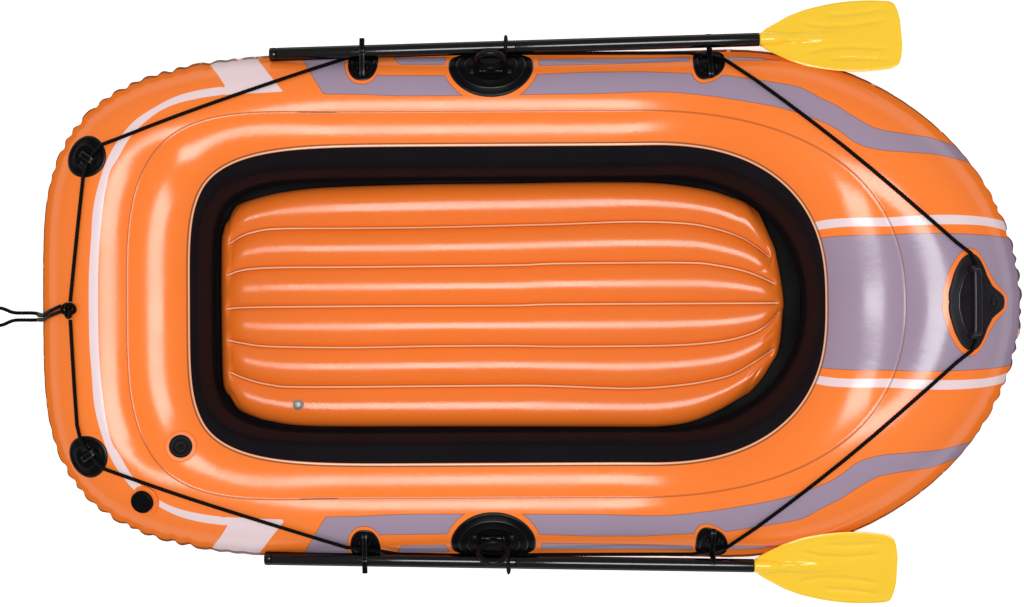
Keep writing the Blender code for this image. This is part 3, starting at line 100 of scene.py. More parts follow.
# Rows round the raft and columns round the sections of the two skins
OUTER_STEPS = {"round": 900, "top": 35, "top_power": 1.35, "low": 25, "low_power": 1.2}
INNER_STEPS = {"round": 720, "crown": 20, "wall": 34}
TURN_SHARE = 0.3
COAMING_BEAD = {"height": 0.0011, "width": 0.0021}
# Distances from the cockpit weld at which the skin has a column
COAMING_FINE = [
    -0.03, -0.022, -0.015, -0.009, -0.005, -0.0026, -0.0012, 0.0, 0.0012, 0.0026, 0.0045, 0.007, 0.011, 0.017, 0.024,
]
# Layer values for places far from every line, and for skin that carries no print
FAR_FROM_PRINT = 0.1
NOT_PRINTED = -0.05

# Floor: its edges and its five welds as curves seen from above
FLOOR_GROOVE = 0.046
FLOOR_CROWN = 0.058
FLOOR_SEAM = 0.03
FLOOR_BASE = 0.0045
FLOOR_RISE = 0.038
FLOOR_RISE_SPAN = (0.14, 0.52)
FLOOR_SIDE_ROLL = 0.038
FLOOR_END_ROLL = 0.05
FLOOR_PINCH = {"depth": 0.0045, "width": 0.0032}
CHANNEL_COUNT = 6
CHANNEL_WIDTH = 0.0756
CHANNEL_FULLEST = 1.15
FLOOR_PORT_EDGE = [
    (-0.586, 0.176), (-0.57, 0.198), (-0.52, 0.215), (-0.464, 0.226), (-0.385, 0.233), (-0.2, 0.238),
    (-0.032, 0.239), (0.144, 0.241), (0.261, 0.237), (0.352, 0.223), (0.4, 0.208), (0.43, 0.196), (0.452, 0.178),
]
FLOOR_WELDS = [
    [(-0.583, 0.122), (-0.562, 0.135), (-0.535, 0.145), (-0.488, 0.151), (-0.346, 0.151), (-0.189, 0.152),
     (-0.033, 0.155), (0.066, 0.157), (0.203, 0.161), (0.304, 0.157), (0.358, 0.148), (0.412, 0.13),
     (0.445, 0.11), (0.472, 0.089)],
    [(-0.587, 0.06), (-0.567, 0.068), (-0.535, 0.073), (-0.472, 0.075), (-0.347, 0.075), (-0.033, 0.077),
     (0.065, 0.08), (0.304, 0.08), (0.371, 0.074), (0.431, 0.06), (0.482, 0.037)],
    [(-0.589, -0.006), (-0.543, -0.003), (-0.347, -0.002), (-0.033, -0.002), (0.065, 0.0), (0.488, 0.0)],
    [(-0.587, -0.067), (-0.559, -0.073), (-0.505, -0.08), (-0.348, -0.083), (-0.191, -0.081), (-0.034, -0.081),
     (0.064, -0.083), (0.269, -0.082), (0.37, -0.075), (0.431, -0.061), (0.464, -0.043), (0.49, -0.016)],
    [(-0.583, -0.13), (-0.552, -0.143), (-0.505, -0.155), (-0.427, -0.16), (-0.034, -0.159), (0.064, -0.161),
     (0.201, -0.166), (0.303, -0.159), (0.37, -0.147), (0.41, -0.133), (0.464, -0.099), (0.479, -0.089)],
]
FLOOR_STARBOARD_EDGE = [
    (-0.586, -0.184), (-0.57, -0.204), (-0.54, -0.218), (-0.505, -0.228), (-0.427, -0.238), (-0.2, -0.24),
    (-0.035, -0.241), (0.201, -0.243), (0.269, -0.241), (0.323, -0.231), (0.372, -0.21), (0.41, -0.188),
    (0.43, -0.176),
]
FLOOR_STERN_EDGE = [
    (0.0, -0.57), (0.1, -0.583), (0.25, -0.592), (0.6, -0.598), (1.0, -0.601), (3.0, -0.602), (5.2, -0.6),
    (5.7, -0.594), (5.88, -0.586), (6.0, -0.572),
]
FLOOR_BOW_EDGE = [
    (0.0, 0.452), (0.35, 0.466), (0.7, 0.48), (1.0, 0.487), (2.0, 0.496), (3.0, 0.5), (4.0, 0.498), (5.0, 0.49),
    (5.4, 0.47), (6.0, 0.43),
]
# Creases of the slack sheet: place, direction in degrees, length, width and depth
FLOOR_CREASES = [
    (0.437, 0.188, 118.0, 0.016, 0.0035, 0.003), (0.424, 0.18, 20.0, 0.02, 0.003, 0.0014),
    (0.476, 0.083, 75.0, 0.014, 0.003, 0.0026), (0.468, 0.072, 30.0, 0.016, 0.003, 0.0016),
    (0.458, 0.064, 10.0, 0.018, 0.003, 0.0012), (0.443, -0.139, 55.0, 0.016, 0.0024, 0.0022),
    (0.452, -0.146, 58.0, 0.014, 0.0024, 0.002), (0.434, -0.133, 50.0, 0.014, 0.0024, 0.0014),
    (0.466, -0.064, 35.0, 0.014, 0.0028, 0.002), (0.474, -0.058, 42.0, 0.012, 0.0024, 0.0016),
    (-0.573, 0.186, 60.0, 0.016, 0.003, 0.0024), (-0.575, -0.178, -60.0, 0.018, 0.003, 0.0022),
    (-0.578, 0.092, 85.0, 0.012, 0.003, 0.0012), (-0.58, -0.1, 95.0, 0.012, 0.003, 0.0012),
]

# Fittings that the print and the ropes go round
OARLOCK_X = -0.066
OARLOCK_HEIGHT_ANGLE = math.radians(46.0)
OARLOCK_PLATE = (0.161, 0.126)
STRAP_X = {"aft": -0.3095, "fore": 0.3457}
STRAP_PATCH = (0.057, 0.096)
STRAP_PATCH_ANGLE = math.radians(36.5)
HANDLE_FROM_BOW = 0.119
HANDLE_OUTLINE = [
    (0.0, 0.06), (10.0, 0.0585), (16.0, 0.054), (29.0, 0.0461), (40.0, 0.043), (49.0, 0.0434), (67.0, 0.051),
    (79.0, 0.066), (89.0, 0.082), (98.0, 0.0886), (109.5, 0.0845), (124.0, 0.073), (145.5, 0.06), (180.0, 0.0529),
]
STRAP_ROOT_ANGLE = math.radians(57.0)
STRAP_WIDTH = 0.01
STRAP_THICK = 0.003
STRAP_TIP = 0.016
STRAP_SLACK = 0.0015
STRAP_ROPE_Y = {"aft": 0.4625, "fore": 0.469}
PATCH_THICK = 0.0024
PLATE_RIM = 0.001
OARLOCK_SEAT = 0.005
RING_PIVOT_ANGLE = math.radians(59.0)
RING_BORE = 0.02
RING_TUBE = 0.0062
RING_ROOT = 0.004
BARREL_RADIUS = 0.0045
BARREL_LENGTH = 0.032
LUG = {"length": 0.006, "width": 0.013, "top": 0.0165}
RING_LEAN = {"port": math.radians(66.0), "starboard": math.radians(52.0)}
PIN_RADIUS = 0.0024
BOSS = {"x": 0.0352, "top": 0.0085, "width": 0.011, "length": 0.0095}
RING_WEB = {"width": 0.02, "thick": 0.0075}
EYELET = {"x": -0.821, "y": 0.28, "length": 0.08, "width": 0.086}
EYELET_BAR = {
    "shift": (0.0105, -0.005), "turn": math.radians(-32.0), "length": 0.029, "width": 0.0125, "thick": 0.0032,
}
EYELET_RIBS = {
    "steps": (-1.5, -0.5, 0.5, 1.5), "pitch": 0.0052, "aft": 0.002, "in": 0.019, "half": 0.006, "width": 0.0022,
}
RIB_TOP = 0.003
STRAP_BLOCKS = {"x": 0.0095, "lower": 0.1, "base": 0.001, "top": 0.0075, "width": 0.01, "length": 0.0032}
GRIP = {
    "aft": 0.0153, "length": 0.124, "width": 0.0155, "thick": 0.009, "rise": 0.026, "leg": 0.0065, "inset": 0.0006,
    "leg_width": 0.01, "sink": 0.003,
}
HANDLE_PADS = {"x": 0.035, "step": 0.0056, "half": 0.0045, "lift": 0.0042, "width": 0.0046}
# Moulded plates in section: shares of their reach and heights above the skin
EYELET_PROFILE = [
    (0.0, 0.0016), (0.26, 0.0016), (0.44, 0.0018), (0.5, 0.0034), (0.58, 0.0036), (0.62, 0.0028), (0.78, 0.0026),
    (0.81, 0.0019), (0.84, 0.0026), (0.94, 0.0024), (0.98, 0.0019), (1.0, PLATE_RIM),
]
STRAP_PROFILE = [
    (0.0, 0.003), (0.3, 0.003), (0.38, 0.0022), (0.66, 0.0022), (0.7, 0.0032), (0.76, 0.0034), (0.81, 0.0024),
    (0.94, PATCH_THICK), (0.98, 0.0018), (1.0, PLATE_RIM),
]
OARLOCK_PROFILE = [
    (0.0, OARLOCK_SEAT), (0.3, OARLOCK_SEAT), (0.4, OARLOCK_SEAT), (0.44, 0.0042), (0.5, 0.0036), (0.58, 0.0034),
    (0.6, 0.0044), (0.62, 0.0044), (0.64, 0.0032), (0.78, 0.0028), (0.795, 0.004), (0.815, 0.004), (0.83, 0.0026),
    (0.94, 0.0026), (0.98, 0.002), (1.0, PLATE_RIM),
]
HANDLE_PROFILE = [
    (0.0, 0.0016), (0.3, 0.0016), (0.56, 0.0018), (0.62, 0.0032), (0.67, 0.0042), (0.69, 0.0054), (0.71, 0.0054),
    (0.73, 0.0042), (0.8, 0.004), (0.9, 0.0034), (0.955, 0.003), (0.985, 0.002), (1.0, PLATE_RIM),
]
OARLOCK_SQUARE = 2.2
STRAP_SQUARE = 2.6
VALVES = {"outer": (-0.715, -0.3614), "inner": (-0.644, -0.2604)}
VALVE_FLANGE = 0.029
VALVE_COLLAR = 0.0178
VALVE_COLLAR_HEIGHT = 0.0075
VALVE_BORE = 0.0134
CAP_RADIUS = 0.021
CAP_TOP = 0.003
CAP_GAP = 0.0006
CAP_SKIRT = 0.006
CAP_CROWNS = {
    "outer": [(0.0, 0.0004), (0.002, 0.0002), (0.0028, -0.0008), (0.0125, -0.0006), (0.0145, 0.0)],
    "inner": [
        (0.0, -0.0004), (0.0022, -0.0004), (0.003, -0.0014), (0.0062, -0.0014), (0.007, 0.0), (0.0098, 0.0),
        (0.0106, -0.0012), (0.0134, -0.0012), (0.0142, 0.0),
    ],
}
FLOOR_VALVE = {"place": (-0.448, -0.1935, 0.0585), "radius": 0.0107, "height": 0.01, "plug": 0.0046}

# Oars
OARS = {
    "port": {"aft": (-0.4865, 0.4774, 0.156), "fore": (0.4385, 0.495, 0.199), "joint": 0.468},
    "starboard": {"aft": (-0.502, -0.4815, 0.146), "fore": (0.4222, -0.491, 0.21), "joint": 0.48},
}
OAR_RADIUS = 0.0125
OAR_END_CAP = 0.014
STOP = {"x": -0.037, "radius": 0.0235, "bore": 0.013, "thick": 0.0062}
BLADE_TILT = math.radians(21.0)
BLADE_LENGTH = 0.26
BLADE_HALF_WIDTH = 0.0734
BLADE_THICK = 0.003
BLADE_NECK = {"radius": 0.0135, "length": 0.045, "fade": 0.05}
BLADE_OUTLINE = [
    (0.0, 0.18), (0.03, 0.29), (0.08, 0.4), (0.134, 0.51), (0.205, 0.655), (0.275, 0.755), (0.347, 0.84),
    (0.49, 0.95), (0.632, 1.01), (0.774, 1.015), (0.902, 0.975), (0.94, 0.93), (0.966, 0.85), (0.986, 0.64),
    (0.997, 0.35),
]
# Flutes pressed in the blade: shares of its length, and distances from its middle line
BLADE_FLUTES = [
    [(0.27, 0.036), (0.37, 0.028), (0.47, 0.0225), (0.65, 0.0225), (0.87, 0.03)],
    [(0.44, 0.046), (0.65, 0.047), (0.87, 0.053)],
]
BLADE_SPINE = {"half": 0.011, "edge": 0.0045, "rise": 0.008}
FLUTE = {"depth": 0.0026, "width": 0.0042, "fade": 0.12}
SHAFT_GAP = 0.0004

# Prints round the fittings
OARLOCK_BORDER = 0.01
STRAP_BORDER = 0.0065
HANDLE_BORDER = 0.01

# Ropes
ROPE_RADIUS = 0.0035
ROPE_GAP = 0.0008
ROPE_LIFT = ROPE_RADIUS + ROPE_GAP
PATCH_ROPE_LIFT = 0.0067
EYELET_ROPE_LIFT = 0.0078
ROPE_LAY = 0.02
ROPE_STEP = 0.0024
ROPE_SIDES = 12
KNOT_PLACE = (-0.848, -0.006)
KNOT_LOBE = 0.0045
KNOT_WEAVE = 0.0041
GRAB_LINE_START_PORT = (-0.848, 0.0095, ROPE_LIFT + 0.001)
GRAB_LINE_START_STARBOARD = (-0.848, 0.024, ROPE_LIFT + 0.001)
GRAB_LINE_STERN = {
    "port": [(-0.825, 0.215, ROPE_LIFT), (-0.8215, 0.24, EYELET_ROPE_LIFT)],
    "starboard": [(-0.837, 0.22, ROPE_LIFT), (-0.83, 0.245, EYELET_ROPE_LIFT)],
}
GRAB_LINE_QUARTER = [
    (-0.8105, 0.2745, EYELET_ROPE_LIFT),
    (-0.786, 0.3005, EYELET_ROPE_LIFT),
    (-0.76, 0.31, ROPE_LIFT),
]
GRAB_LINE_SIDE = {
    "port": [
        (-0.345, 0.47, ROPE_LIFT),
        (-0.313, 0.474, PATCH_ROPE_LIFT),
        (-0.278, 0.4765, 0.0062),
        (-0.248, 0.4785, 0.0064),
        (-0.15, 0.48, 0.0072),
        (-0.11, 0.48, 0.0092),
        (-0.025, 0.48, 0.0092),
        (0.02, 0.48, 0.0072),
    ],
    "starboard": [
        (-0.345, 0.459, PATCH_ROPE_LIFT),
        (-0.313, 0.4625, PATCH_ROPE_LIFT),
        (-0.278, 0.4685, 0.0058),
        (-0.248, 0.4755, 0.006),
        (-0.15, 0.478, 0.0072),
        (-0.11, 0.478, 0.0092),
        (-0.025, 0.478, 0.0092),
        (0.02, 0.478, 0.0072),
    ],
}
GRAB_LINE_BOW = [
    (0.31, 0.476, PATCH_ROPE_LIFT),
    (0.342, 0.469, PATCH_ROPE_LIFT),
    (0.372, 0.459, PATCH_ROPE_LIFT),
    (0.77, 0.108, ROPE_LIFT),
    (0.797, 0.087, 0.0085),
    (0.8045, 0.069, 0.0085),
    (0.809, 0.054, 0.0085),
    (0.809, 0.0, 0.0085),
]
TOW_PORT = [(-0.87, 0.001), (-0.89, -0.006), (-0.906, -0.012), (-0.917, -0.016)]
TOW_STARBOARD = [(-0.87, -0.009), (-0.89, -0.015), (-0.906, -0.0205), (-0.917, -0.0245)]
TOW_DROP = [(-0.931, 0.145), (-0.9355, 0.118), (-0.9375, 0.08), (-0.943, 0.042), (-0.959, 0.016)]
TOW_PORT_GROUND = [(-0.98, -0.012), (-1.018, -0.011), (-1.045, -0.002)]
TOW_STARBOARD_GROUND = [(-0.98, -0.026), (-1.018, -0.0265), (-1.045, -0.036)]
TOW_LOOP = [(-1.078, -0.005), (-1.088, -0.019), (-1.078, -0.033)]

# Camera and studio
IMAGE_WIDTH = 1024.0
CAMERA_SHIFT = (-15.0, 0.9)
CAMERA_TURN = math.radians(-0.3)
SENSOR_WIDTH = 36.0
PAPER_HALF = 6.0
PAPER_SHADE = 0.75
PAPER_GLOW = 0.5
SOFTBOX = {"sides": (2.3, 1.5), "watts": 106.0, "height": 4.6}
ROOM_LIGHT = 0.56
ROOM_LOST_IN_GLOSS = 0.34

# Printed shapes on the port half, as points on the hull seen from above; starboard mirrors them
PANEL_INNER_EDGE = [
    (-0.381, 0.398), (-0.312, 0.397), (-0.237, 0.394), (-0.143, 0.394), (-0.068, 0.394), (-0.007, 0.395),
    (0.121, 0.396), (0.242, 0.398), (0.325, 0.389), (0.404, 0.373), (0.474, 0.355), (0.539, 0.328),
    (0.569, 0.309), (0.597, 0.287), (0.637, 0.275), (0.69, 0.271), (0.745, 0.268), (0.785, 0.262),
    (0.832, 0.255), (0.85, 0.236), (0.866, 0.208),
]
PANEL_OUTER_EDGE = [
    (0.314, 0.432), (0.373, 0.425), (0.416, 0.416), (0.46, 0.407), (0.503, 0.396), (0.537, 0.375),
    (0.567, 0.358), (0.593, 0.339), (0.625, 0.319), (0.651, 0.311), (0.694, 0.305), (0.734, 0.301),
    (0.768, 0.294), (0.798, 0.287), (0.821, 0.27), (0.86, 0.262),
]
PANEL_STERN_CORNER = [(-0.455, 0.517), (-0.424, 0.467)]
CHANNEL_EDGE = [(0.216, 0.439), (0.121, 0.439), (0.023, 0.435), (-0.149, 0.433), (-0.281, 0.434), (-0.281, 0.52)]
STRIPS = [
    [(-0.252, 0.474), (-0.152, 0.474), (-0.153, 0.456), (-0.241, 0.457)],
    [(0.024, 0.467), (0.142, 0.468), (0.31, 0.468), (0.312, 0.458), (0.217, 0.457), (0.026, 0.453)],
    [(0.378, 0.464), (0.44, 0.461), (0.481, 0.4535), (0.38, 0.456)],
]
BOW_PANEL_EDGE = [
    (0.5, 0.114), (0.526, 0.117), (0.572, 0.121), (0.647, 0.122), (0.709, 0.124), (0.773, 0.123),
    (0.83, 0.121), (0.888, 0.117), (0.935, 0.108),
]
BOW_STRIPE_INNER_EDGE = [
    (0.5, 0.129), (0.524, 0.132), (0.571, 0.137), (0.647, 0.137), (0.709, 0.139), (0.774, 0.14),
    (0.832, 0.138), (0.883, 0.131), (0.925, 0.122),
]
BOW_STRIPE_OUTER_EDGE = [
    (0.5, 0.139), (0.518, 0.145), (0.547, 0.151), (0.595, 0.153), (0.647, 0.153), (0.709, 0.156),
    (0.761, 0.157), (0.818, 0.155), (0.881, 0.149), (0.925, 0.142),
]
STERN_STRIPE_OUTER_EDGE = [
    (-0.565, 0.411), (-0.613, 0.403), (-0.655, 0.39), (-0.696, 0.367), (-0.727, 0.345), (-0.748, 0.321),
    (-0.767, 0.293), (-0.78, 0.266), (-0.79, 0.238), (-0.799, 0.206), (-0.805, 0.17), (-0.808, 0.124),
    (-0.812, 0.068), (-0.813, 0.0),
]
STERN_STRIPE_INNER_EDGE = [
    (-0.57, 0.394), (-0.612, 0.387), (-0.653, 0.376), (-0.685, 0.36), (-0.716, 0.334), (-0.737, 0.31),
    (-0.758, 0.274), (-0.771, 0.253), (-0.78, 0.219), (-0.786, 0.181), (-0.792, 0.124), (-0.795, 0.068),
    (-0.796, 0.0),
]
STERN_PATCH = [
    (-0.57, 0.394), (-0.563, 0.412), (-0.58, 0.436), (-0.606, 0.465), (-0.615, 0.52), (-0.54, 0.52),
    (-0.518, 0.478), (-0.456, 0.402),
]

SIDES = ("port", "starboard")
FORWARD = Vector((1.0, 0.0, 0.0))
UP = Vector((0.0, 0.0, 1.0))
Station = namedtuple("Station", "point outward outer inner radius half_wall height coaming seam")
Skin = namedtuple("Skin", "point normal along")


def linear(code):
    """A colour written as six hex digits of sRGB, as Blender's linear values."""
    values = [int(code[i : i + 2], 16) / 255.0 for i in (0, 2, 4)]
    return tuple(v / 12.92 if v <= 0.04045 else ((v + 0.055) / 1.055) ** 2.4 for v in values)


def smooth(value):
    """0 up to 0, 1 from 1, and an S curve between."""
    value = np.clip(value, 0.0, 1.0)
    return value * value * (3.0 - 2.0 * value)


def mix(low, high, share):
    """The value a share of the way from low to high."""
    return low + (high - low) * share


def side_sign(side_name):
    """1 to port and -1 to starboard."""
    return 1.0 if side_name == "port" else -1.0


def round_turn(count):
    """Even angles once round."""
    return [2.0 * math.pi * k / count for k in range(count)]


def ramp(x, span):
    """How far x is through a span, as an S curve."""
    return smooth((x - span[0]) / (span[1] - span[0]))


class RaftSizes(bpy.types.PropertyGroup):
    """Sizes that a user would change."""

    camera_height: bpy.props.FloatProperty(
        name="Camera Height",
        description="Height of the camera above the ground",
        default=3.6,
        unit="LENGTH",
    )
    lens: bpy.props.FloatProperty(
        name="Lens", description="Focal length of the camera in millimetres", default=63.7
    )
    rope_lay: bpy.props.FloatProperty(
        name="Rope Lay",
        description="Length of one full turn of the rope's strands",
        default=ROPE_LAY,
        unit="LENGTH",
    )
    pleat_depth: bpy.props.FloatProperty(
        name="Pleat Depth",
        description="How far the gathered skin is drawn in at the welded seam",
        default=PLEAT_DEPTH,
        unit="LENGTH",
    )


def colour_property(name, description, code):
    """A colour with its default written as sRGB hex."""
    return bpy.props.FloatVectorProperty(
        name=name, description=description, subtype="COLOR", size=3, min=0.0, max=1.0, default=linear(code)
    )


class RaftColours(bpy.types.PropertyGroup):
    """Colours that a user would change."""

    orange: colour_property("Orange", "Orange vinyl sheet of the chambers", "FF812F")
    floor_orange: colour_property("Floor Orange", "Orange vinyl sheet of the floor", "FF7D2B")
    grey: colour_property("Grey Print", "Grey ink of the printed panels", "A08CA1")
    # Painted shade: the grey print darkened where it runs into the seam flange
    grey_rim_shade: colour_property("Grey Rim", "Seam flange where the grey print runs into it", "3A363F")
    pale: colour_property("Pale Print", "Pale ink of the printed stripes", "EDD5D8")
    # Besides the print's outlines, this colour is laid as painted shade along the chambers' crease and beside the
    # floor's welds
    outline: colour_property("Print Outline", "Thin line where two inks overlap", "8E4A2E")
    # The pale line of the floor's welds; also the painted highlight on the cockpit weld's bead and the painted glints
    # on the seam flange
    weld: colour_property("Weld", "Light line of a weld on the orange skin", "F3B48E")
    # Painted shade: beside the cockpit weld's bead, and darkened on the seam flange
    weld_shadow: colour_property("Weld Edge", "Dark edge beside the cockpit weld", "7A4422")
    black_sheet: colour_property("Black Sheet", "Black vinyl sheet of the cockpit wall", "151317")
    black_moulding: colour_property("Black Moulding", "Moulded black vinyl fittings", "0C0B0D")
    grey_moulding: colour_property("Handle Moulding", "Moulded vinyl of the bow handle", "201E23")
    black_tube: colour_property("Black Tube", "Coated tube of the oar shafts", "050506")
    yellow: colour_property("Yellow Blade", "Moulded yellow plastic of the blades", "FFD036")
    clear: colour_property("Clear Vinyl", "Clear vinyl of the floor valve", "D9D6D0")
    rope: colour_property("Rope", "Black twisted rope", "030202")
    backdrop: colour_property("Floor", "Pale studio floor", "F4F4F4")


def sizes():
    """The scene's sizes."""
    return bpy.context.scene.raft_sizes


def colour(name):
    """One of the scene's colours, with full alpha."""
    return (*getattr(bpy.context.scene.raft_colours, name), 1.0)


# Hull lines and sections


class PlanCurve:
    """A hull line seen from above: straight sides, a squarish stern and a rounder bow."""

    def __init__(self, stern, bow, half_beam, rounding):
        self.stern = stern
        self.bow = bow
        self.half_beam = half_beam
        self.stern_round = rounding["stern"]
        self.bow_round = rounding["bow"]
        self.stern_power = rounding["stern_power"]
        self.bow_power = rounding["bow_power"]
        self.straight_aft = stern + self.stern_round
        self.straight_fore = bow - self.bow_round

    def end_share(self, x):
        """How far x is through the rounding of the stern or the bow, and the power of that rounding."""
        if x < self.straight_aft:
            return (self.straight_aft - x) / self.stern_round, self.stern_power
        if x > self.straight_fore:
            return (x - self.straight_fore) / self.bow_round, self.bow_power
        return 0.0, 2.0

    def level(self, x, y):
        """Below 1 inside the line and above 1 outside it."""
        along, power = self.end_share(x)
        return (along**power + abs(y / self.half_beam) ** power) ** (1.0 / power)

    def half_width(self, x):
        """Half the breadth of the line at x."""
        along, power = self.end_share(x)
        return self.half_beam * (1.0 - min(along, 1.0) ** power) ** (1.0 / power)

    def reach(self, start, direction):
        """The distance from a point to where a direction first crosses the line."""
        inside = self.level(start.x, start.y) < 1.0
        far = REACH_STEP
        while (self.level(*(start + direction * far).xy) < 1.0) == inside:
            far += REACH_STEP
        near = far - REACH_STEP
        for _ in range(24):
            middle = (near + far) / 2.0
            if (self.level(*(start + direction * middle).xy) < 1.0) == inside:
                near = middle
            else:
                far = middle
        return near

    def half_outline(self, count, turn_share=0.0):
        """Points of the port half from bow to stern, spaced by length and by how the line turns."""
        rough = []
        for i in range(1601):
            angle = math.pi * i / 1600
            cosine = math.cos(angle)
            sine = max(math.sin(angle), 0.0)
            if cosine >= 0.0:
                power = 2.0 / self.bow_power
                x = self.straight_fore + self.bow_round * cosine**power
            else:
                power = 2.0 / self.stern_power
                x = self.straight_aft - self.stern_round * (-cosine) ** power
            rough.append(Vector((x, self.half_beam * sine**power, 0.0)))
        fine = even_points(rough, 1601)
        weights = []
        for i in range(1600):
            before = fine[i] - fine[i - 1] if i else fine[1] - fine[0]
            turning = before.angle(fine[i + 1] - fine[i])
            weights.append((1.0 - turn_share) / 1600 + turn_share * turning / math.pi)
        return even_points(fine, count, weights)


def even_points(rough, count, weights=None):
    """Points at even distances along a line of points, or at even sums of its steps' weights."""
    travelled = [0.0]
    for i, (a, b) in enumerate(zip(rough, rough[1:])):
        travelled.append(travelled[-1] + (weights[i] if weights else (b - a).length))
    out = []
    i = 0
    for k in range(count):
        goal = travelled[-1] * k / (count - 1)
        while i < len(rough) - 2 and travelled[i + 1] < goal:
            i += 1
        span = max(travelled[i + 1] - travelled[i], 1e-12)
        out.append(rough[i].lerp(rough[i + 1], min((goal - travelled[i]) / span, 1.0)))
    return out


STERN_X = -HULL_LENGTH / 2.0
BOW_X = HULL_LENGTH / 2.0
OUTER_LINE = PlanCurve(STERN_X, BOW_X, HULL_BEAM / 2.0, OUTER_ROUNDING)
WALL_LINE = PlanCurve(
    STERN_X + OUTER_WIDTH["stern"],
    BOW_X - OUTER_WIDTH["bow"],
    HULL_BEAM / 2.0 - OUTER_WIDTH["side"],
    WALL_ROUNDING,
)
COCKPIT_LINE = PlanCurve(
    WALL_LINE.stern + INNER_WIDTH["stern"],
    WALL_LINE.bow - INNER_WIDTH["bow"],
    WALL_LINE.half_beam - INNER_WIDTH["side"],
    COCKPIT_ROUNDING,
)
COAMING_LINE = PlanCurve(COAMING["stern"], COAMING["bow"], COAMING["half_beam"], COAMING_ROUNDING)


def outer_radius(x):
    """Radius of the outer chamber's section, by the place of its inner wall."""
    side = OUTER_RADIUS["side"]
    aft = (OUTER_RADIUS["stern"] - side) * ramp(x, STERN_SWELL)
    fore = (OUTER_RADIUS["bow"] - side) * ramp(x, BOW_SWELL)
    return side + aft + fore


def make_station(point, outward, seam):
    """Measures the section that stands on the partition at a point."""
    outer = OUTER_LINE.reach(point, outward) - FLANGE_WIDTH
    inner = COCKPIT_LINE.reach(point, -outward)
    coaming = COAMING_LINE.reach(point, -outward)
    radius = outer_radius(point.x)
    half_wall = math.sqrt(max(2.0 * outer * radius - outer * outer, (0.5 * radius) ** 2))
    height = BOW_LIFT * ramp(point.x, BOW_LIFT_SPAN) + radius - GROUND_FLAT
    return Station(point, outward, outer, inner, radius, half_wall, height, coaming, seam)


def make_stations(count, turn_share):
    """Sections round the hull, from the bow over port, the stern and starboard."""
    half = WALL_LINE.half_outline(count // 2 + 1, turn_share)
    fine = WALL_LINE.half_outline(1601)
    places = np.array([p.xy for p in fine])
    port = []
    for i, point in enumerate(half):
        place = int(np.argmin(((places - np.array(point.xy)) ** 2).sum(1)))
        run = (fine[min(place + 16, 1600)] - fine[max(place - 16, 0)]).normalized()
        outward = Vector((run.y, -run.x, 0.0))
        if i in (0, count // 2):
            outward = Vector((1.0 if i == 0 else -1.0, 0.0, 0.0))
        port.append((point, -outward if outward.dot(point) < 0.0 else outward))
    starboard = [(Vector((p.x, -p.y, 0.0)), Vector((n.x, -n.y, 0.0))) for p, n in reversed(port[1:-1])]
    stations = []
    seam = 0.0
    last = None
    for point, outward in port + starboard:
        edge = point + outward * OUTER_LINE.reach(point, outward)
        seam += (edge - last).length if last else 0.0
        last = edge
        stations.append(make_station(point, outward, seam))
    return stations


def arc_of(width, half_wall):
    """Radius of a chamber's arc, and its centre measured from the partition."""
    free = width - WALL_FACE
    radius = (free * free + half_wall**2) / (2.0 * free)
    return radius, WALL_FACE + free - radius


class HullSkin:
    """Finds points on the chambers' outside for what is seated there."""

    def __init__(self):
        self.stations = make_stations(720, 0.0)
        self.places = np.array([s.point.xy for s in self.stations])
        self.trees = {"outer": self.tree(1.0), "inner": self.tree(-1.0)}

    def tree(self, way):
        """A search tree of one chamber's plain skin."""
        points = []
        steps = 64
        chosen = self.stations[::3]
        for station in chosen:
            width = station.outer if way > 0.0 else station.inner
            radius, centre = arc_of(width, station.half_wall)
            start = math.atan2(station.half_wall, WALL_FACE - centre)
            for j in range(steps + 1):
                angle = start * (1.0 - 2.0 * j / steps)
                point = station.point + station.outward * way * (centre + radius * math.cos(angle))
                points.append(Vector((point.x, point.y, station.height + radius * math.sin(angle))))
        row = steps + 1
        faces = []
        for i in range(len(chosen)):
            n = (i + 1) % len(chosen)
            faces += [(i * row + j, i * row + j + 1, n * row + j + 1, n * row + j) for j in range(steps)]
        return BVHTree.FromPolygons(points, faces)

    def nearest_station(self, x, y):
        """The section that passes nearest to a point in plan."""
        return self.stations[int(np.argmin(((self.places - (x, y)) ** 2).sum(1)))]

    def above(self, x, y):
        """The skin above a point in plan."""
        station = self.nearest_station(x, y)
        out = (Vector((x, y, 0.0)) - station.point).dot(station.outward)
        way = 1.0 if out >= 0.0 else -1.0
        radius, centre = arc_of(station.outer if way > 0.0 else station.inner, station.half_wall)
        lean = min(max((out * way - centre) / radius, -0.999), 0.999)
        rise = math.sqrt(1.0 - lean * lean)
        normal = (station.outward * way * lean + Vector((0.0, 0.0, rise))).normalized()
        point = Vector((x, y, station.height + radius * rise))
        along = Vector((-station.outward.y, station.outward.x, 0.0))
        return Skin(point, normal, along)

    def at_angle(self, x, side, angle):
        """The outer chamber's skin at a height angle above its widest line."""
        edge = OUTER_LINE.half_width(x)
        station = self.nearest_station(x, side * (edge - OUTER_WIDTH["side"]))
        radius, centre = arc_of(station.outer, station.half_wall)
        out = station.outward * math.cos(angle) + Vector((0.0, 0.0, math.sin(angle)))
        point = station.point + station.outward * centre + Vector((0.0, 0.0, station.height)) + out * radius
        return Skin(Vector((x, point.y, point.z)), out, FORWARD)

    def drape(self, tree, point, normal):
        """The skin under a point, along a seat's own normal."""
        hit = self.trees[tree].ray_cast(point + normal * 0.08, -normal, 0.25)
        return hit[0] if hit[0] is not None else point

    def rope_height(self, x, y, lift):
        """The height of a rope's middle line that keeps a given distance from both chambers."""
        station = self.nearest_station(x, y)
        out = (Vector((x, y, 0.0)) - station.point).dot(station.outward)
        rises = []
        for width, place in ((station.outer, out), (station.inner, -out)):
            radius, centre = arc_of(width, station.half_wall)
            rises.append((radius + lift) ** 2 - (place - centre) ** 2)
        return station.height + math.sqrt(max(*rises, 0.0))


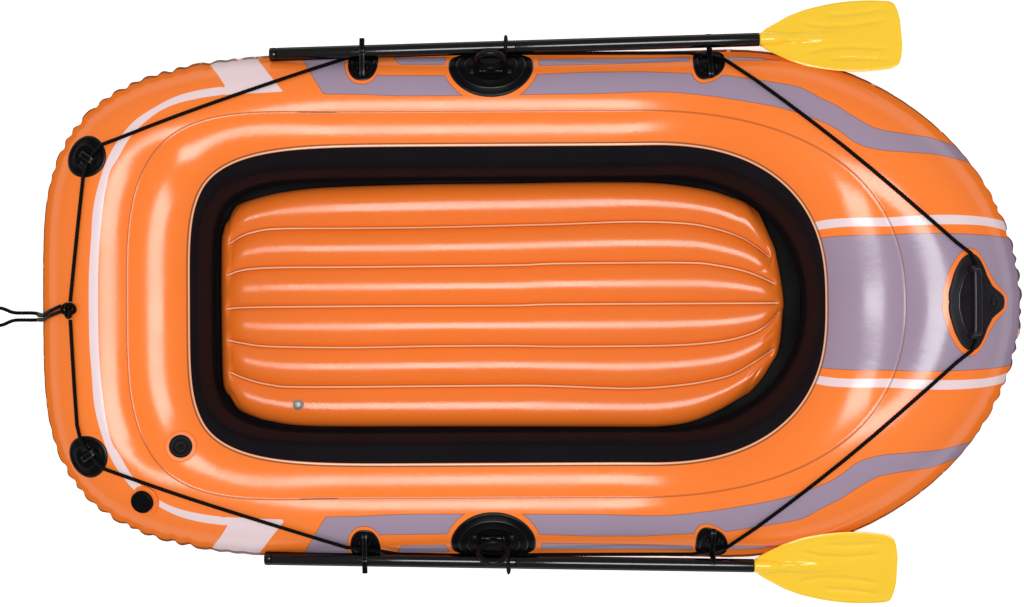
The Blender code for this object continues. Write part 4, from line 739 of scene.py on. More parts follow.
def seat_frame(point, normal, along):
    """A frame whose Z is the seat's normal and whose X runs along the hull."""
    z = normal.normalized()
    x = (along - z * along.dot(z)).normalized()
    made = Matrix((x, z.cross(x), z)).transposed().to_4x4()
    made.translation = point
    return made


def skin_frame(skin):
    """The frame of a seat on a place of the skin."""
    return seat_frame(skin.point, skin.normal, skin.along)


def handle_frame(hull):
    """The frame of the bow handle, its X towards the bow."""
    skin = hull.above(BOW_X - HANDLE_FROM_BOW, 0.0)
    return seat_frame(skin.point, skin.normal, FORWARD)


def oval(length, width, power=2.0):
    """The reach of an oval outline at an angle; a higher power squares it."""

    def reach(angle):
        a = np.abs(np.cos(angle) / (length / 2.0)) ** power
        b = np.abs(np.sin(angle) / (width / 2.0)) ** power
        return (a + b) ** (-1.0 / power)

    return reach


def handle_outline(angle):
    """Reach of the bow handle's plate at an angle from the bow, the same on both sides."""
    turned = np.degrees(np.arccos(np.clip(np.cos(angle), -1.0, 1.0)))
    return np.interp(turned, *zip(*smooth_curve(HANDLE_OUTLINE)))


# Meshes


def new_piece(name, bm, body, material, replaced=()):
    """Turns a bmesh into a piece that rides on a body of the frame."""
    mesh = bpy.data.meshes.new(name)
    bm.to_mesh(mesh)
    bm.free()
    mesh.shade_smooth()
    mesh.set_sharp_from_angle(angle=math.radians(50.0))
    made = bpy.data.objects.new(name, mesh)
    bpy.context.scene.collection.objects.link(made)
    made.data.materials.append(material)
    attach(made, body)
    if replaced:
        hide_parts(*replaced)
    return made


def wrapped_grid(points, layers):
    """A flat grid laid on an array of points, rows by columns, with a float layer for each array of values."""
    rows, columns = points.shape[:2]
    bm = bmesh.new()
    bmesh.ops.create_grid(bm, x_segments=rows - 1, y_segments=columns - 1, size=1.0)
    made = {name: bm.verts.layers.float.new(name) for name in layers}
    for vert in bm.verts:
        i = round((vert.co.x + 1.0) / 2.0 * (rows - 1))
        j = round((vert.co.y + 1.0) / 2.0 * (columns - 1))
        for name, layer in made.items():
            vert[layer] = layers[name][i, j]
        vert.co = points[i, j]
    bmesh.ops.remove_doubles(bm, verts=bm.verts, dist=1e-6)
    bmesh.ops.recalc_face_normals(bm, faces=bm.faces)
    return bm


def closed_round(array):
    """Repeats an array's first column at its end, so that a grid laid on it closes round."""
    return np.concatenate([array, array[:, :1]], axis=1)


def closed_along(array):
    """Repeats an array's first row at its end, so that a grid laid on it closes along."""
    return np.concatenate([array, array[:1]], axis=0)


def outward_normals(bm):
    """Turns a closed skin's faces outwards."""
    bmesh.ops.recalc_face_normals(bm, faces=bm.faces)
    return bm


def capped(bm):
    """Fills a skin's open ends and turns its faces outwards."""
    ends = [e for e in bm.edges if e.is_boundary]
    if ends:
        bmesh.ops.holes_fill(bm, edges=ends, sides=0)
    return outward_normals(bm)


def stand_for(node, bm, body="hull", kind="moulded_vinyl", name=None):
    """Puts a piece in place of its node, by default as a moulding of black vinyl on the hull."""
    return new_piece(name or f"{node}_moulding", bm, body, material(kind), [node])


# Print


def smooth_curve(points, steps=6):
    """More points on a smooth curve through the given ones."""
    last = len(points) - 1
    made = []
    for i in range(last):
        p0, p1, p2, p3 = (np.array(points[min(max(i + k, 0), last)]) for k in (-1, 0, 1, 2))
        bend = 2.0 * p0 - 5.0 * p1 + 4.0 * p2 - p3
        twist = 3.0 * p1 - p0 - 3.0 * p2 + p3
        for t in (k / steps for k in range(steps)):
            made.append(0.5 * (2.0 * p1 + (p2 - p0) * t + bend * t**2 + twist * t**3))
    return made + [np.array(points[-1])]


def inside_distance(places, outline):
    """Distance of each place from an outline, positive inside it."""
    start = np.array(outline)
    run = np.roll(start, -1, axis=0) - start
    nearest = np.full(len(places), 1e9)
    crossings = np.zeros(len(places), int)
    for (x, y), (dx, dy) in zip(start, run):
        px = places[:, 0] - x
        py = places[:, 1] - y
        share = np.clip((px * dx + py * dy) / max(dx * dx + dy * dy, 1e-12), 0.0, 1.0)
        nearest = np.minimum(nearest, (px - dx * share) ** 2 + (py - dy * share) ** 2)
        spans = (py < 0.0) != (py - dy < 0.0)
        safe = np.where(spans, dy if dy else 1.0, 1.0)
        crossings += spans & (px < py / safe * dx)
    return np.where(crossings % 2 == 1, 1.0, -1.0) * np.sqrt(nearest)


def print_shapes():
    """Outlines of the grey panels and of the pale stripes on the port half."""
    outer = smooth_curve(PANEL_OUTER_EDGE)
    inner = smooth_curve(PANEL_INNER_EDGE)
    side_panel = PANEL_STERN_CORNER + inner + outer[::-1] + CHANNEL_EDGE
    bow_edge = smooth_curve(BOW_PANEL_EDGE)
    bow_panel = bow_edge + [(x, -y) for x, y in bow_edge[::-1]]
    stripe = smooth_curve(BOW_STRIPE_OUTER_EDGE) + smooth_curve(BOW_STRIPE_INNER_EDGE)[::-1]
    outside = smooth_curve(STERN_STRIPE_OUTER_EDGE)
    inside = smooth_curve(STERN_STRIPE_INNER_EDGE)
    stern = outside + [(x, -y) for x, y in outside[::-1][1:]] + [(x, -y) for x, y in inside] + inside[::-1][1:]
    return [side_panel, bow_panel] + STRIPS, [stripe, stern, STERN_PATCH]


def fitting_borders(hull):
    """Frame, outline and width of the orange border that the print leaves round each welded fitting."""
    borders = []
    for side in (1.0, -1.0):
        seat = hull.at_angle(OARLOCK_X, side, OARLOCK_HEIGHT_ANGLE)
        borders.append((skin_frame(seat), oval(*OARLOCK_PLATE, OARLOCK_SQUARE), OARLOCK_BORDER))
        for x in STRAP_X.values():
            seat = hull.at_angle(x, side, STRAP_PATCH_ANGLE)
            borders.append((skin_frame(seat), oval(*STRAP_PATCH, STRAP_SQUARE), STRAP_BORDER))
    return borders + [(handle_frame(hull), handle_outline, HANDLE_BORDER)]


def print_layers(points, hull, printed):
    """Values at each point of a skin: how deep it is inside the grey print, the pale print and clear of fittings."""
    flat = points.reshape(-1, 3)
    mirrored = np.stack([flat[:, 0], np.abs(flat[:, 1])], axis=1)
    grey, pale = (np.max([inside_distance(mirrored, s) for s in shapes], axis=0) for shapes in print_shapes())
    clear = np.full(len(flat), FAR_FROM_PRINT)
    for seat, outline, border in fitting_borders(hull):
        back = np.array(seat.inverted())
        local = flat @ back[:3, :3].T + back[:3, 3]
        gap = np.hypot(local[:, 0], local[:, 1]) - outline(np.arctan2(local[:, 1], local[:, 0])) - border
        clear = np.minimum(clear, np.where(np.abs(local[:, 2]) < 0.06, gap, FAR_FROM_PRINT))
    off = ~printed.reshape(-1)
    grey[off] = pale[off] = NOT_PRINTED
    return {name: v.reshape(points.shape[:2]) for name, v in (("grey", grey), ("pale", pale), ("clear", clear))}


# Materials


def add(tree, kind, values=None, links=None, **settings):
    """Adds a node with its settings, its values and what feeds it."""
    made = tree.nodes.new(kind)
    for key, value in settings.items():
        setattr(made, key, value)
    for key, value in (values or {}).items():
        made.inputs[key].default_value = value
    for key, source in (links or {}).items():
        tree.links.new(source, made.inputs[key])
    return made


def new_material(name, **values):
    """A Principled material, its node tree and its shader."""
    made = bpy.data.materials.new(name)
    made.use_nodes = True
    tree = made.node_tree
    shader = tree.nodes["Principled BSDF"]
    for key, value in values.items():
        shader.inputs[key.replace("_", " ")].default_value = value
    return made, tree, shader


def layer(tree, name):
    """The value of a skin's own layer."""
    return add(tree, "ShaderNodeAttribute", attribute_name=name).outputs["Fac"]


def mask(tree, value, low, high):
    """0 where a value is under low, 1 where it is over high."""
    made = add(tree, "ShaderNodeMapRange", {1: low, 2: high, 3: 0.0, 4: 1.0}, {0: value}, clamp=True)
    return made.outputs[0]


def blend_colours(tree, share, first, second):
    """A mix of two colours, each a value or a socket."""
    made = add(tree, "ShaderNodeMix", None, {0: share}, data_type="RGBA")
    for place, given in ((6, first), (7, second)):
        if isinstance(given, tuple):
            made.inputs[place].default_value = given
        else:
            tree.links.new(given, made.inputs[place])
    return made.outputs[2]


def calculate(tree, operation, first, second=None):
    """One step of arithmetic on values or sockets."""
    made = add(tree, "ShaderNodeMath", operation=operation)
    for place, given in enumerate((first, second)):
        if given is None:
            continue
        if isinstance(given, (int, float)):
            made.inputs[place].default_value = given
        else:
            tree.links.new(given, made.inputs[place])
    return made.outputs[0]


def noise(tree, scale, detail=2.0, roughness=0.5, stretch=(1.0, 1.0, 1.0)):
    """Noise on the object's own coordinates; scale is in turns a metre."""
    place = add(tree, "ShaderNodeTexCoord").outputs["Object"]
    moved = add(tree, "ShaderNodeMapping", {"Scale": stretch}, {"Vector": place}).outputs[0]
    values = {"Scale": scale, "Detail": detail, "Roughness": roughness}
    return add(tree, "ShaderNodeTexNoise", values, {"Vector": moved}).outputs["Fac"]


def bump(tree, height, distance, strength=1.0, under=None):
    """Raises the surface by a height map; distance is in metres."""
    made = add(tree, "ShaderNodeBump", {"Strength": strength, "Distance": distance}, {"Height": height})
    if under:
        tree.links.new(under, made.inputs["Normal"])
    return made.outputs[0]


def edge_shine(tree, level):
    """Gloss that fades where the surface turns away."""
    facing = add(tree, "ShaderNodeLayerWeight", {"Blend": 0.5}).outputs["Facing"]
    return add(tree, "ShaderNodeMapRange", {1: 0.25, 2: 0.62, 3: level, 4: 0.0}, {0: facing}).outputs[0]


def wander(tree, pattern, low, high, span=(0.3, 0.7)):
    """A value that wanders between low and high with a pattern."""
    return add(tree, "ShaderNodeMapRange", {1: span[0], 2: span[1], 3: low, 4: high}, {0: pattern}).outputs[0]


def dress(tree, shader, **sources):
    """Feeds a shader's colour, normal, roughness and gloss."""
    names = {"ink": "Base Color", "grain": "Normal", "rough": "Roughness", "shine": "Specular IOR Level"}
    for key, source in sources.items():
        tree.links.new(source, shader.inputs[names[key]])


def aged(tree, base, darker, scale=5.0):
    """A colour that drifts a little across the sheet."""
    share = mask(tree, noise(tree, scale, 3.0), 0.35, 0.75)
    return blend_colours(tree, calculate(tree, "MULTIPLY", share, 0.35), base, darker)


def shade(base, factor):
    """A colour made lighter or darker."""
    return tuple(min(v * factor, 1.0) for v in base[:3]) + (1.0,)


def drifting(tree, name, factor, scale=5.0):
    """One of the raft's colours that drifts towards a lighter or darker one."""
    return aged(tree, colour(name), shade(colour(name), factor), scale)


def line_at(tree, value, outer, inner, middle=0.0):
    """1 where a value is within inner of its middle, 0 where it is further than outer."""
    gap = calculate(tree, "SUBTRACT", value, middle) if middle else value
    return mask(tree, calculate(tree, "ABSOLUTE", gap), outer, inner)


def laid_over(tree, ink, share, strength, over):
    """An ink with another laid over it, as strongly as given."""
    return blend_colours(tree, calculate(tree, "MULTIPLY", share, strength), ink, over)


def sheet_surface(tree, shader, ink, smooth_gloss, worn_gloss, dull=None):
    """The calendered face of vinyl sheet: a fine orange peel, and gloss that wanders where hands have been."""
    shine = edge_shine(tree, 0.5)
    if dull:
        kept = calculate(tree, "SUBTRACT", 1.0, calculate(tree, "MULTIPLY", dull, 0.82))
        shine = calculate(tree, "MULTIPLY", shine, kept)
    peel = bump(tree, noise(tree, 320.0, 2.0), 0.00006)
    slack = bump(tree, noise(tree, 26.0, 3.0, 0.6), 0.001, 0.35, peel)
    rough = wander(tree, noise(tree, 7.0, 4.0), smooth_gloss, worn_gloss, (0.35, 0.65))
    dress(tree, shader, ink=ink, grain=slack, rough=rough, shine=shine)


def printed_sheet_material():
    """Gloss PVC sheet, calendered and gravure printed: even bright ink, a soft broad gloss."""
    made, tree, shader = new_material("printed PVC sheet", IOR=1.53)
    grey = calculate(tree, "MINIMUM", layer(tree, "grey"), layer(tree, "clear"))
    in_grey = mask(tree, grey, -0.0004, 0.0004)
    in_pale = mask(tree, layer(tree, "pale"), -0.0004, 0.0004)
    ink = blend_colours(tree, in_grey, drifting(tree, "orange", 0.93), drifting(tree, "grey", 0.9, 9.0))
    ink = laid_over(tree, ink, line_at(tree, grey, 0.0011, 0.0004), 0.65, colour("outline"))
    ink = blend_colours(tree, in_pale, ink, colour("pale"))
    # Painted shade: a thin dark line in the crease where the outer and inner chambers meet
    ink = laid_over(tree, ink, line_at(tree, layer(tree, "crease"), 0.0014, 0.0005), 0.45, colour("outline"))
    # Painted shade on the seam flange: dark brown, or dark grey where the grey print reaches it, strewn with painted
    # glints in the weld colour
    rim_shade_ink = blend_colours(tree, in_grey, shade(colour("weld_shadow"), 0.35), colour("grey_rim_shade"))
    rim_shade_and_glints = blend_colours(tree, mask(tree, noise(tree, 60.0, 2.0), 0.62, 0.7), rim_shade_ink, colour("weld"))
    ink = laid_over(tree, ink, mask(tree, layer(tree, "flange"), 0.1, 0.7), 0.85, rim_shade_and_glints)
    coaming = layer(tree, "coaming")
    # Painted shade: a dark line just outside the cockpit weld's bead
    ink = laid_over(tree, ink, line_at(tree, coaming, 0.0026, 0.0012, 0.004), 0.85, colour("weld_shadow"))
    # Painted highlight: a pale line along the cockpit weld's bead
    ink = blend_colours(tree, line_at(tree, coaming, 0.0022, 0.001, 0.0009), ink, colour("weld"))
    liner = mask(tree, coaming, -0.0008, -0.0014)
    ink = blend_colours(tree, liner, ink, drifting(tree, "black_sheet", 1.5, 8.0))
    sheet_surface(tree, shader, ink, 0.18, 0.26, liner)
    return made


def floor_sheet_material():
    """The floor's PVC sheet: the same gloss orange, with high-frequency weld lines pressed pale and painted shade
    beside them.
    """
    made, tree, shader = new_material("welded floor sheet", IOR=1.53)
    weld = layer(tree, "weld")
    inside = mask(tree, layer(tree, "depth"), -0.001, 0.002)
    edge, line = (
        calculate(tree, "MULTIPLY", line_at(tree, weld, outer, inner), inside)
        for outer, inner in ((0.0042, 0.0026), (0.0021, 0.0012))
    )
    # Painted shade: a darker band either side of each weld's pale line, where the sheet dips into the weld
    ink = laid_over(tree, drifting(tree, "floor_orange", 0.92), edge, 0.6, colour("outline"))
    ink = laid_over(tree, ink, line, 0.92, shade(colour("weld"), 1.35))
    sheet_surface(tree, shader, ink, 0.16, 0.24)
    return made


def black_sheet_material():
    """Black PVC sheet, calendered: dark, with a soft satin gloss."""
    made, tree, shader = new_material("black PVC sheet", IOR=1.53)
    ink = aged(tree, shade(colour("black_sheet"), 0.5), colour("black_sheet"), 10.0)
    sheet_surface(tree, shader, ink, 0.45, 0.6, 1.0)
    return made


def moulding_material(ink_name="black_moulding"):
    """Soft black vinyl, injection moulded: finely pebbled and dull, with its ridges rubbed shiny."""
    made, tree, shader = new_material("moulded black vinyl", IOR=1.52)
    ridge = mask(tree, add(tree, "ShaderNodeNewGeometry").outputs["Pointiness"], 0.51, 0.56)
    dress(
        tree,
        shader,
        ink=drifting(tree, ink_name, 1.9, 30.0),
        grain=bump(tree, noise(tree, 900.0), 0.0001),
        rough=wander(tree, noise(tree, 60.0, 3.0), 0.26, 0.36),
        shine=calculate(tree, "MULTIPLY", edge_shine(tree, 0.6), calculate(tree, "MAXIMUM", ridge, 0.06)),
    )
    return made


def handle_moulding_material():
    """The same moulded vinyl, a shade greyer on the bow handle."""
    return moulding_material("grey_moulding")


def orange_moulding_material():
    """Soft orange vinyl, injection moulded and welded in: satin, a little deeper than the sheet."""
    made, tree, shader = new_material("moulded orange vinyl", IOR=1.52)
    dress(
        tree,
        shader,
        ink=drifting(tree, "orange", 0.8, 40.0),
        grain=bump(tree, noise(tree, 900.0), 0.00008),
        rough=wander(tree, noise(tree, 60.0, 3.0), 0.24, 0.36),
        shine=edge_shine(tree, 0.25),
    )
    return made


def tube_material():
    """Aluminium tube under black sleeve: smooth and glossy, with faint drawn lines along it."""
    made, tree, shader = new_material("black sleeved tube", IOR=1.5)
    dress(
        tree,
        shader,
        ink=drifting(tree, "black_tube", 1.8, 20.0),
        grain=bump(tree, noise(tree, 700.0, 1.0, 0.5, (0.02, 1.0, 1.0)), 0.00001),
        rough=wander(tree, noise(tree, 40.0, 3.0), 0.1, 0.16),
        shine=edge_shine(tree, 0.62),
    )
    return made


def blade_material():
    """Polypropylene, injection moulded yellow: glossy and a little waxy, lit through where it is thin."""
    through = {"Subsurface_Weight": 0.1, "Subsurface_Radius": (0.006, 0.004, 0.001), "Subsurface_Scale": 0.5}
    made, tree, shader = new_material("moulded yellow plastic", IOR=1.49, **through)
    flow = bump(tree, noise(tree, 45.0, 3.0), 0.0004, 0.3)
    dress(
        tree,
        shader,
        ink=drifting(tree, "yellow", 0.9, 12.0),
        grain=bump(tree, noise(tree, 500.0), 0.00004, 1.0, flow),
        rough=wander(tree, noise(tree, 25.0, 3.0), 0.09, 0.16),
    )
    return made


def clear_vinyl_material():
    """Clear soft vinyl, moulded: greyish where it is thick, shiny."""
    made, tree, shader = new_material("clear moulded vinyl", IOR=1.52, Transmission_Weight=0.55)
    rough = wander(tree, noise(tree, 80.0), 0.1, 0.22)
    dress(tree, shader, ink=drifting(tree, "clear", 0.8, 60.0), rough=rough)
    return made


def rope_material():
    """Polypropylene twine, laid in three strands: black, hairy up close, with a dull sheen."""
    made, tree, shader = new_material("laid black rope", IOR=1.49, Specular_IOR_Level=0.12)
    fibres = noise(tree, 1500.0)
    ink = blend_colours(tree, mask(tree, fibres, 0.4, 0.8), colour("rope"), shade(colour("rope"), 3.0))
    dress(tree, shader, ink=ink, grain=bump(tree, fibres, 0.00025), rough=wander(tree, fibres, 0.5, 0.75))
    return made


MATERIALS = {
    "orange_pvc": printed_sheet_material,
    "floor": floor_sheet_material,
    "black_pvc": black_sheet_material,
    "moulded_vinyl": moulding_material,
    "handle_moulding": handle_moulding_material,
    "orange_moulding": orange_moulding_material,
    "yellow_plastic": blade_material,
    "black_tube": tube_material,
    "clear_vinyl": clear_vinyl_material,
    "rope": rope_material,
}
made_once = {}


def shared(kind, maker):
    """Makes a thing the first time it is asked for, and hands out the same one after that."""
    if kind not in made_once:
        made_once[kind] = maker()
    return made_once[kind]


def material(kind):
    """One of the raft's materials."""
    return shared(kind, MATERIALS[kind])


def hull_skin():
    """The hull's plain surface."""
    return shared("hull", HullSkin)


# Chambers


def pleats(seam, tight, rng_seed):
    """How deep the seam's pleats are at places round the hull, each one drawn a little differently."""
    rng = np.random.default_rng(rng_seed)
    total = seam[-1] + (seam[1] - seam[0])
    count = int(total / PLEAT_PITCH)
    centres = (np.arange(count) + rng.uniform(-0.22, 0.22, count)) * total / count
    depth = rng.uniform(0.55, 1.0, count)
    made = np.zeros(len(seam))
    for centre, deep in zip(centres, depth):
        gap = np.abs(seam - centre)
        gap = np.minimum(gap, total - gap)
        made = np.maximum(made, deep * np.exp(-((gap / PLEAT_WIDTH) ** 2)))
    return made * tight


def corner_tightness(stations):
    """How much the seam gathers, and where its flange stands bare: most round the corners and at the bow."""
    x = np.array([s.point.x for s in stations])
    y = np.abs([s.point.y for s in stations])
    stern = ramp(x, STERN_GATHER["x"]) * ramp(y, STERN_GATHER["y"])
    bow = ramp(x, BOW_GATHER["x"]) * mix(BOW_GATHER["least"], 1.0, ramp(y, BOW_GATHER["y"]))
    return mix(SEAM_GATHER, 1.0, np.maximum(stern, bow)), ramp(x, BOW_BARE["x"]) * ramp(y, BOW_BARE["y"])


def welded_edge(station, way):
    """Where a chamber's skin leaves the partition's top weld; way is 1 outwards and -1 inwards."""
    weld = station.half_wall + WELD_BEAD
    return [(way * SKIN_GAP, station.half_wall + WELD_BEAD * 0.9), (way * WALL_FACE * 0.5, weld)]


def outer_chamber_grid(hull):
    """Points and layers of the outer chamber's skin with its welded, pleated seam."""
    stations = make_stations(OUTER_STEPS["round"], TURN_SHARE)
    tight, bare = corner_tightness(stations)
    drawn = pleats(np.array([s.seam for s in stations]), tight, PLEAT_SEED) * sizes().pleat_depth
    top_shares = 1.0 - np.linspace(0.0, 1.0, OUTER_STEPS["top"])[:-1] ** OUTER_STEPS["top_power"]
    low_shares = np.linspace(0.0, 1.0, OUTER_STEPS["low"])[1:] ** OUTER_STEPS["low_power"]
    on_top = len(top_shares) + 2
    half = FLANGE_THICK / 2.0
    rows = []
    crease = []
    for station, pleat, open_rim in zip(stations, drawn, bare):
        radius, centre = arc_of(station.outer, station.half_wall)
        start = math.atan2(station.half_wall, WALL_FACE - centre)
        root = math.asin(half / radius)
        gather = pleat * (1.0 - PLEAT_CALM * open_rim)
        held = FLANGE_BARE * open_rim

        def on_arc(angle):
            pull = gather * math.exp(-((angle / PLEAT_FADE) ** 2)) + held * math.exp(-((angle / FLANGE_BARE_FADE) ** 2))
            return centre + (radius - pull) * math.cos(angle), (radius - pull) * math.sin(angle)

        angles = [mix(root, start, share) for share in top_shares]
        foot = centre + (radius - gather - held) * math.cos(root)
        edge = station.outer + FLANGE_WIDTH + FLANGE_BARE * FLANGE_BARE_OUT * open_rim - pleat * PLEAT_EDGE
        corner = edge - FLANGE_CORNER
        ring = welded_edge(station, 1.0) + [on_arc(angle) for angle in angles]
        ring += [(foot, half), (corner, half), (edge, 0.0), (corner, -half), (foot, -half)]
        ring += [on_arc(-mix(root, start, share)) for share in low_shares]
        rows.append([place_in_section(station, out, up) for out, up in ring])
        over = [(start - angle) * radius for angle in angles] + [start * radius] * 5
        crease.append([0.0, 0.0] + over + [FAR_FROM_PRINT] * len(low_shares))
    points = np.array(rows)
    printed = np.zeros(points.shape[:2], bool)
    printed[:, : on_top + 3] = True
    values = print_layers(points, hull, printed)
    values["crease"] = np.array(crease)
    # Flange columns: the material paints shade and glints over them
    values["flange"] = np.zeros(points.shape[:2])
    values["flange"][:, on_top : on_top + 4] = 1.0
    values["coaming"] = np.full(points.shape[:2], FAR_FROM_PRINT)
    return points, values


def place_in_section(station, out, up):
    """World point of a section, kept above the ground."""
    point = station.point + station.outward * out
    return point.x, point.y, max(station.height + up, 0.0)


def inner_chamber_grid(hull):
    """Points and layers of the inner chamber's skin, orange over the crown and black inside the cockpit."""
    fine = np.array(COAMING_FINE)[::-1]
    rows = []
    crease = []
    coaming = []
    for station in make_stations(INNER_STEPS["round"], TURN_SHARE):
        radius, centre = arc_of(station.inner, station.half_wall)
        start = math.atan2(station.half_wall, WALL_FACE - centre)
        rim = math.acos(min(max((station.coaming - centre) / radius, -1.0), 1.0))
        near = rim + fine / radius
        crown = np.linspace(start, near[0], INNER_STEPS["crown"])[:-1]
        wall = np.linspace(near[-1], -start, INNER_STEPS["wall"])[1:]
        ring = welded_edge(station, -1.0)
        gaps = []
        for angle in (*crown, *near, *wall):
            gaps.append((angle - rim) * radius)
            reach = radius + COAMING_BEAD["height"] * math.exp(-((gaps[-1] / COAMING_BEAD["width"]) ** 2))
            ring.append((-centre - reach * math.cos(angle), reach * math.sin(angle)))
        rows.append([place_in_section(station, out, up) for out, up in ring])
        over = [(start - a) * radius if a > 0.0 else FAR_FROM_PRINT for a in (*crown, *near, *wall)]
        crease.append([0.0, 0.0] + over)
        coaming.append([FAR_FROM_PRINT, FAR_FROM_PRINT] + gaps)
    points = np.array(rows)
    values = print_layers(points, hull, np.ones(points.shape[:2], bool))
    values.update(crease=np.array(crease), coaming=np.array(coaming), flange=np.zeros(points.shape[:2]))
    return points, values


def make_chamber(name, grid):
    """One air chamber's skin in place of its node."""
    points, values = grid(hull_skin())
    closed = {key: closed_along(closed_round(value)) for key, value in values.items()}
    bm = wrapped_grid(closed_along(closed_round(points)), closed)
    return stand_for(name, bm, kind="orange_pvc", name=f"{name}_skin")


# Floor


def floor_lines():
    """The floor's stern and bow edges, then its port edge, welds and starboard edge, each as smooth curves."""
    edges = [FLOOR_STERN_EDGE, FLOOR_BOW_EDGE, FLOOR_PORT_EDGE, *FLOOR_WELDS, FLOOR_STARBOARD_EDGE]
    return [np.array(smooth_curve(edge)).T for edge in edges]


def floor_place(channel, share):
    """A point of the floor in plan: counted in channels from the port edge, and as a share from stern to bow."""
    stern, bow, *lines = shared("floor lines", floor_lines)
    x = mix(np.interp(channel, *stern), np.interp(channel, *bow), share)
    ys = [np.interp(x, *line) for line in lines]
    return x, np.interp(channel, range(CHANNEL_COUNT + 1), ys), ys


def quarter_round(distance, width):
    """0 at an edge rising as a quarter circle to 1 at a given width from it."""
    return math.sqrt(max(1.0 - (1.0 - min(max(distance / width, 0.0), 1.0)) ** 2, 0.0))


def floor_row(share, channels):
    """One row of the floor across the raft: top points, underside points, weld gaps and depth inside each weld."""
    top, low, gaps, depths = [], [], [], []
    for channel in channels:
        x, y, ys = floor_place(channel, share)
        nearest = min(max(round(channel), 1), CHANNEL_COUNT - 1)
        weld = FLOOR_WELDS[nearest - 1]
        depth = min(x - weld[0][0], weld[-1][0] - x)
        wide = abs(ys[nearest] - ys[nearest + (1 if channel > nearest else -1)])
        part = min(abs(channel - nearest) * 2.0, 1.0)
        stern, bow = (np.interp(channel, *line) for line in shared("floor lines", floor_lines)[:2])
        sides = quarter_round(min(ys[0] - y, y - ys[-1]), FLOOR_SIDE_ROLL)
        roll = sides * quarter_round(min(x - stern, bow - x), FLOOR_END_ROLL)
        sag = (FLOOR_CROWN - FLOOR_GROOVE) * min(wide / CHANNEL_WIDTH, CHANNEL_FULLEST) * (1.0 - part) ** 2
        pinch = FLOOR_PINCH["depth"] * math.exp(-((abs(y - ys[nearest]) / FLOOR_PINCH["width"]) ** 2))
        held = float(smooth((depth + 0.004) / 0.012)) * max(roll, 0.35)
        lift = FLOOR_RISE * float(ramp(x, FLOOR_RISE_SPAN)) + FLOOR_SEAM
        top.append((x, y, lift + (FLOOR_CROWN - FLOOR_SEAM) * roll - (sag + pinch) * held - crease(x, y)))
        low.append((x, y, lift + (FLOOR_BASE - FLOOR_SEAM) * roll))
        between = 0.5 < channel < CHANNEL_COUNT - 0.5
        gaps.append(math.sin(math.pi * channel) * wide / math.pi if between else FAR_FROM_PRINT)
        depths.append(depth)
    return top, low, gaps, depths


def crease(x, y):
    """How deep the slack sheet is creased at a place of the floor."""
    deep = 0.0
    for cx, cy, turn, length, width, depth in FLOOR_CREASES:
        c, s = math.cos(math.radians(turn)), math.sin(math.radians(turn))
        along = (x - cx) * c + (y - cy) * s
        across = (y - cy) * c - (x - cx) * s
        deep += depth * math.exp(-((along / length) ** 2) - (across / width) ** 2)
    return deep


def make_floor():
    """The inflatable floor: six channels between five welds that stop short of its ends."""
    near = np.linspace(-1.0, 1.0, 23)
    within = np.sign(near) * np.abs(near) ** 1.5 / 2.0
    channels = np.unique(np.clip(np.concatenate([k + within for k in range(CHANNEL_COUNT + 1)]), 0.0, CHANNEL_COUNT))
    shares = (1.0 - np.cos(np.linspace(0.0, math.pi, 300))) / 2.0
    rows = [floor_row(share, channels) for share in shares]
    points = np.array([top + low[-2:0:-1] for top, low, _, _ in rows])
    spare = len(channels) - 2
    weld = np.array([gaps + [FAR_FROM_PRINT] * spare for _, _, gaps, _ in rows])
    depth = np.array([depths + [0.0] * spare for _, _, _, depths in rows])
    bm = wrapped_grid(closed_round(points), {"weld": closed_round(weld), "depth": closed_round(depth)})
    made = new_piece("floor_mattress_skin", capped(bm), "hull", material("floor"), ["floor_mattress"])
    return made


# Ropes


def taut_line(hull, anchors, spacing=0.065):
    """A rope pulled from anchor to anchor over the hull; each anchor is (x, y, lift above the skin)."""
    points = []
    for near, far in zip(anchors, anchors[1:]):
        length = math.hypot(far[0] - near[0], far[1] - near[1])
        steps = max(round(length / spacing), 1)
        kept = []
        for i in range(steps + 1):
            x, y, lift = (mix(near[k], far[k], i / steps) for k in range(3))
            point = Vector((x, y, hull.rope_height(x, y, lift)))
            while len(kept) > 1 and rises_over(kept[-2], kept[-1], point):
                kept.pop()
            kept.append(point)
        points += kept[:-1]
    points.append(kept[-1])
    return points


def rises_over(first, middle, last):
    """Whether a straight line from first to last passes above the middle point."""
    near = (middle - first).xy.length
    far = (last - first).xy.length
    return first.z + (last.z - first.z) * near / far >= middle.z


def smooth_path(points, count):
    """Evenly spaced vectors on a smooth curve through the points."""
    return even_points([Vector(p) for p in smooth_curve([tuple(q) for q in points], 12)], count)


def rope_frames(path, closed=False):
    """Directions across a path that turn with it and never flip."""
    across = []
    last = UP
    count = len(path)
    for i in range(count):
        before = path[i - 1] if i or closed else path[0]
        after = path[(i + 1) % count] if closed else path[min(i + 1, count - 1)]
        run = (after - before).normalized()
        last = (last - run * last.dot(run)).normalized()
        across.append((last.copy(), run.cross(last)))
    return across


def laid_rope(path, radius, closed=False):
    """A rope of three strands laid round each other along a path."""
    lay = sizes().rope_lay
    travelled = 0.0
    rows = []
    for i, (point, (up, side)) in enumerate(zip(path, rope_frames(path, closed))):
        travelled += (point - path[i - 1]).length if i else 0.0
        twist = 2.0 * math.pi * travelled / lay
        row = []
        for angle in round_turn(ROPE_SIDES):
            reach = radius * 1.05 * (0.8 + 0.2 * abs(math.cos(1.5 * (angle - twist))))
            row.append(point + up * (reach * math.cos(angle)) + side * (reach * math.sin(angle)))
        rows.append(row)
    return ring_shell(rows, closed)


def path_length(path):
    """The length along a path."""
    return sum((b - a).length for a, b in zip(path, path[1:]))


def rope_points(path):
    """The number of points that a rope's path needs."""
    return max(int(path_length(path) / ROPE_STEP), 24)


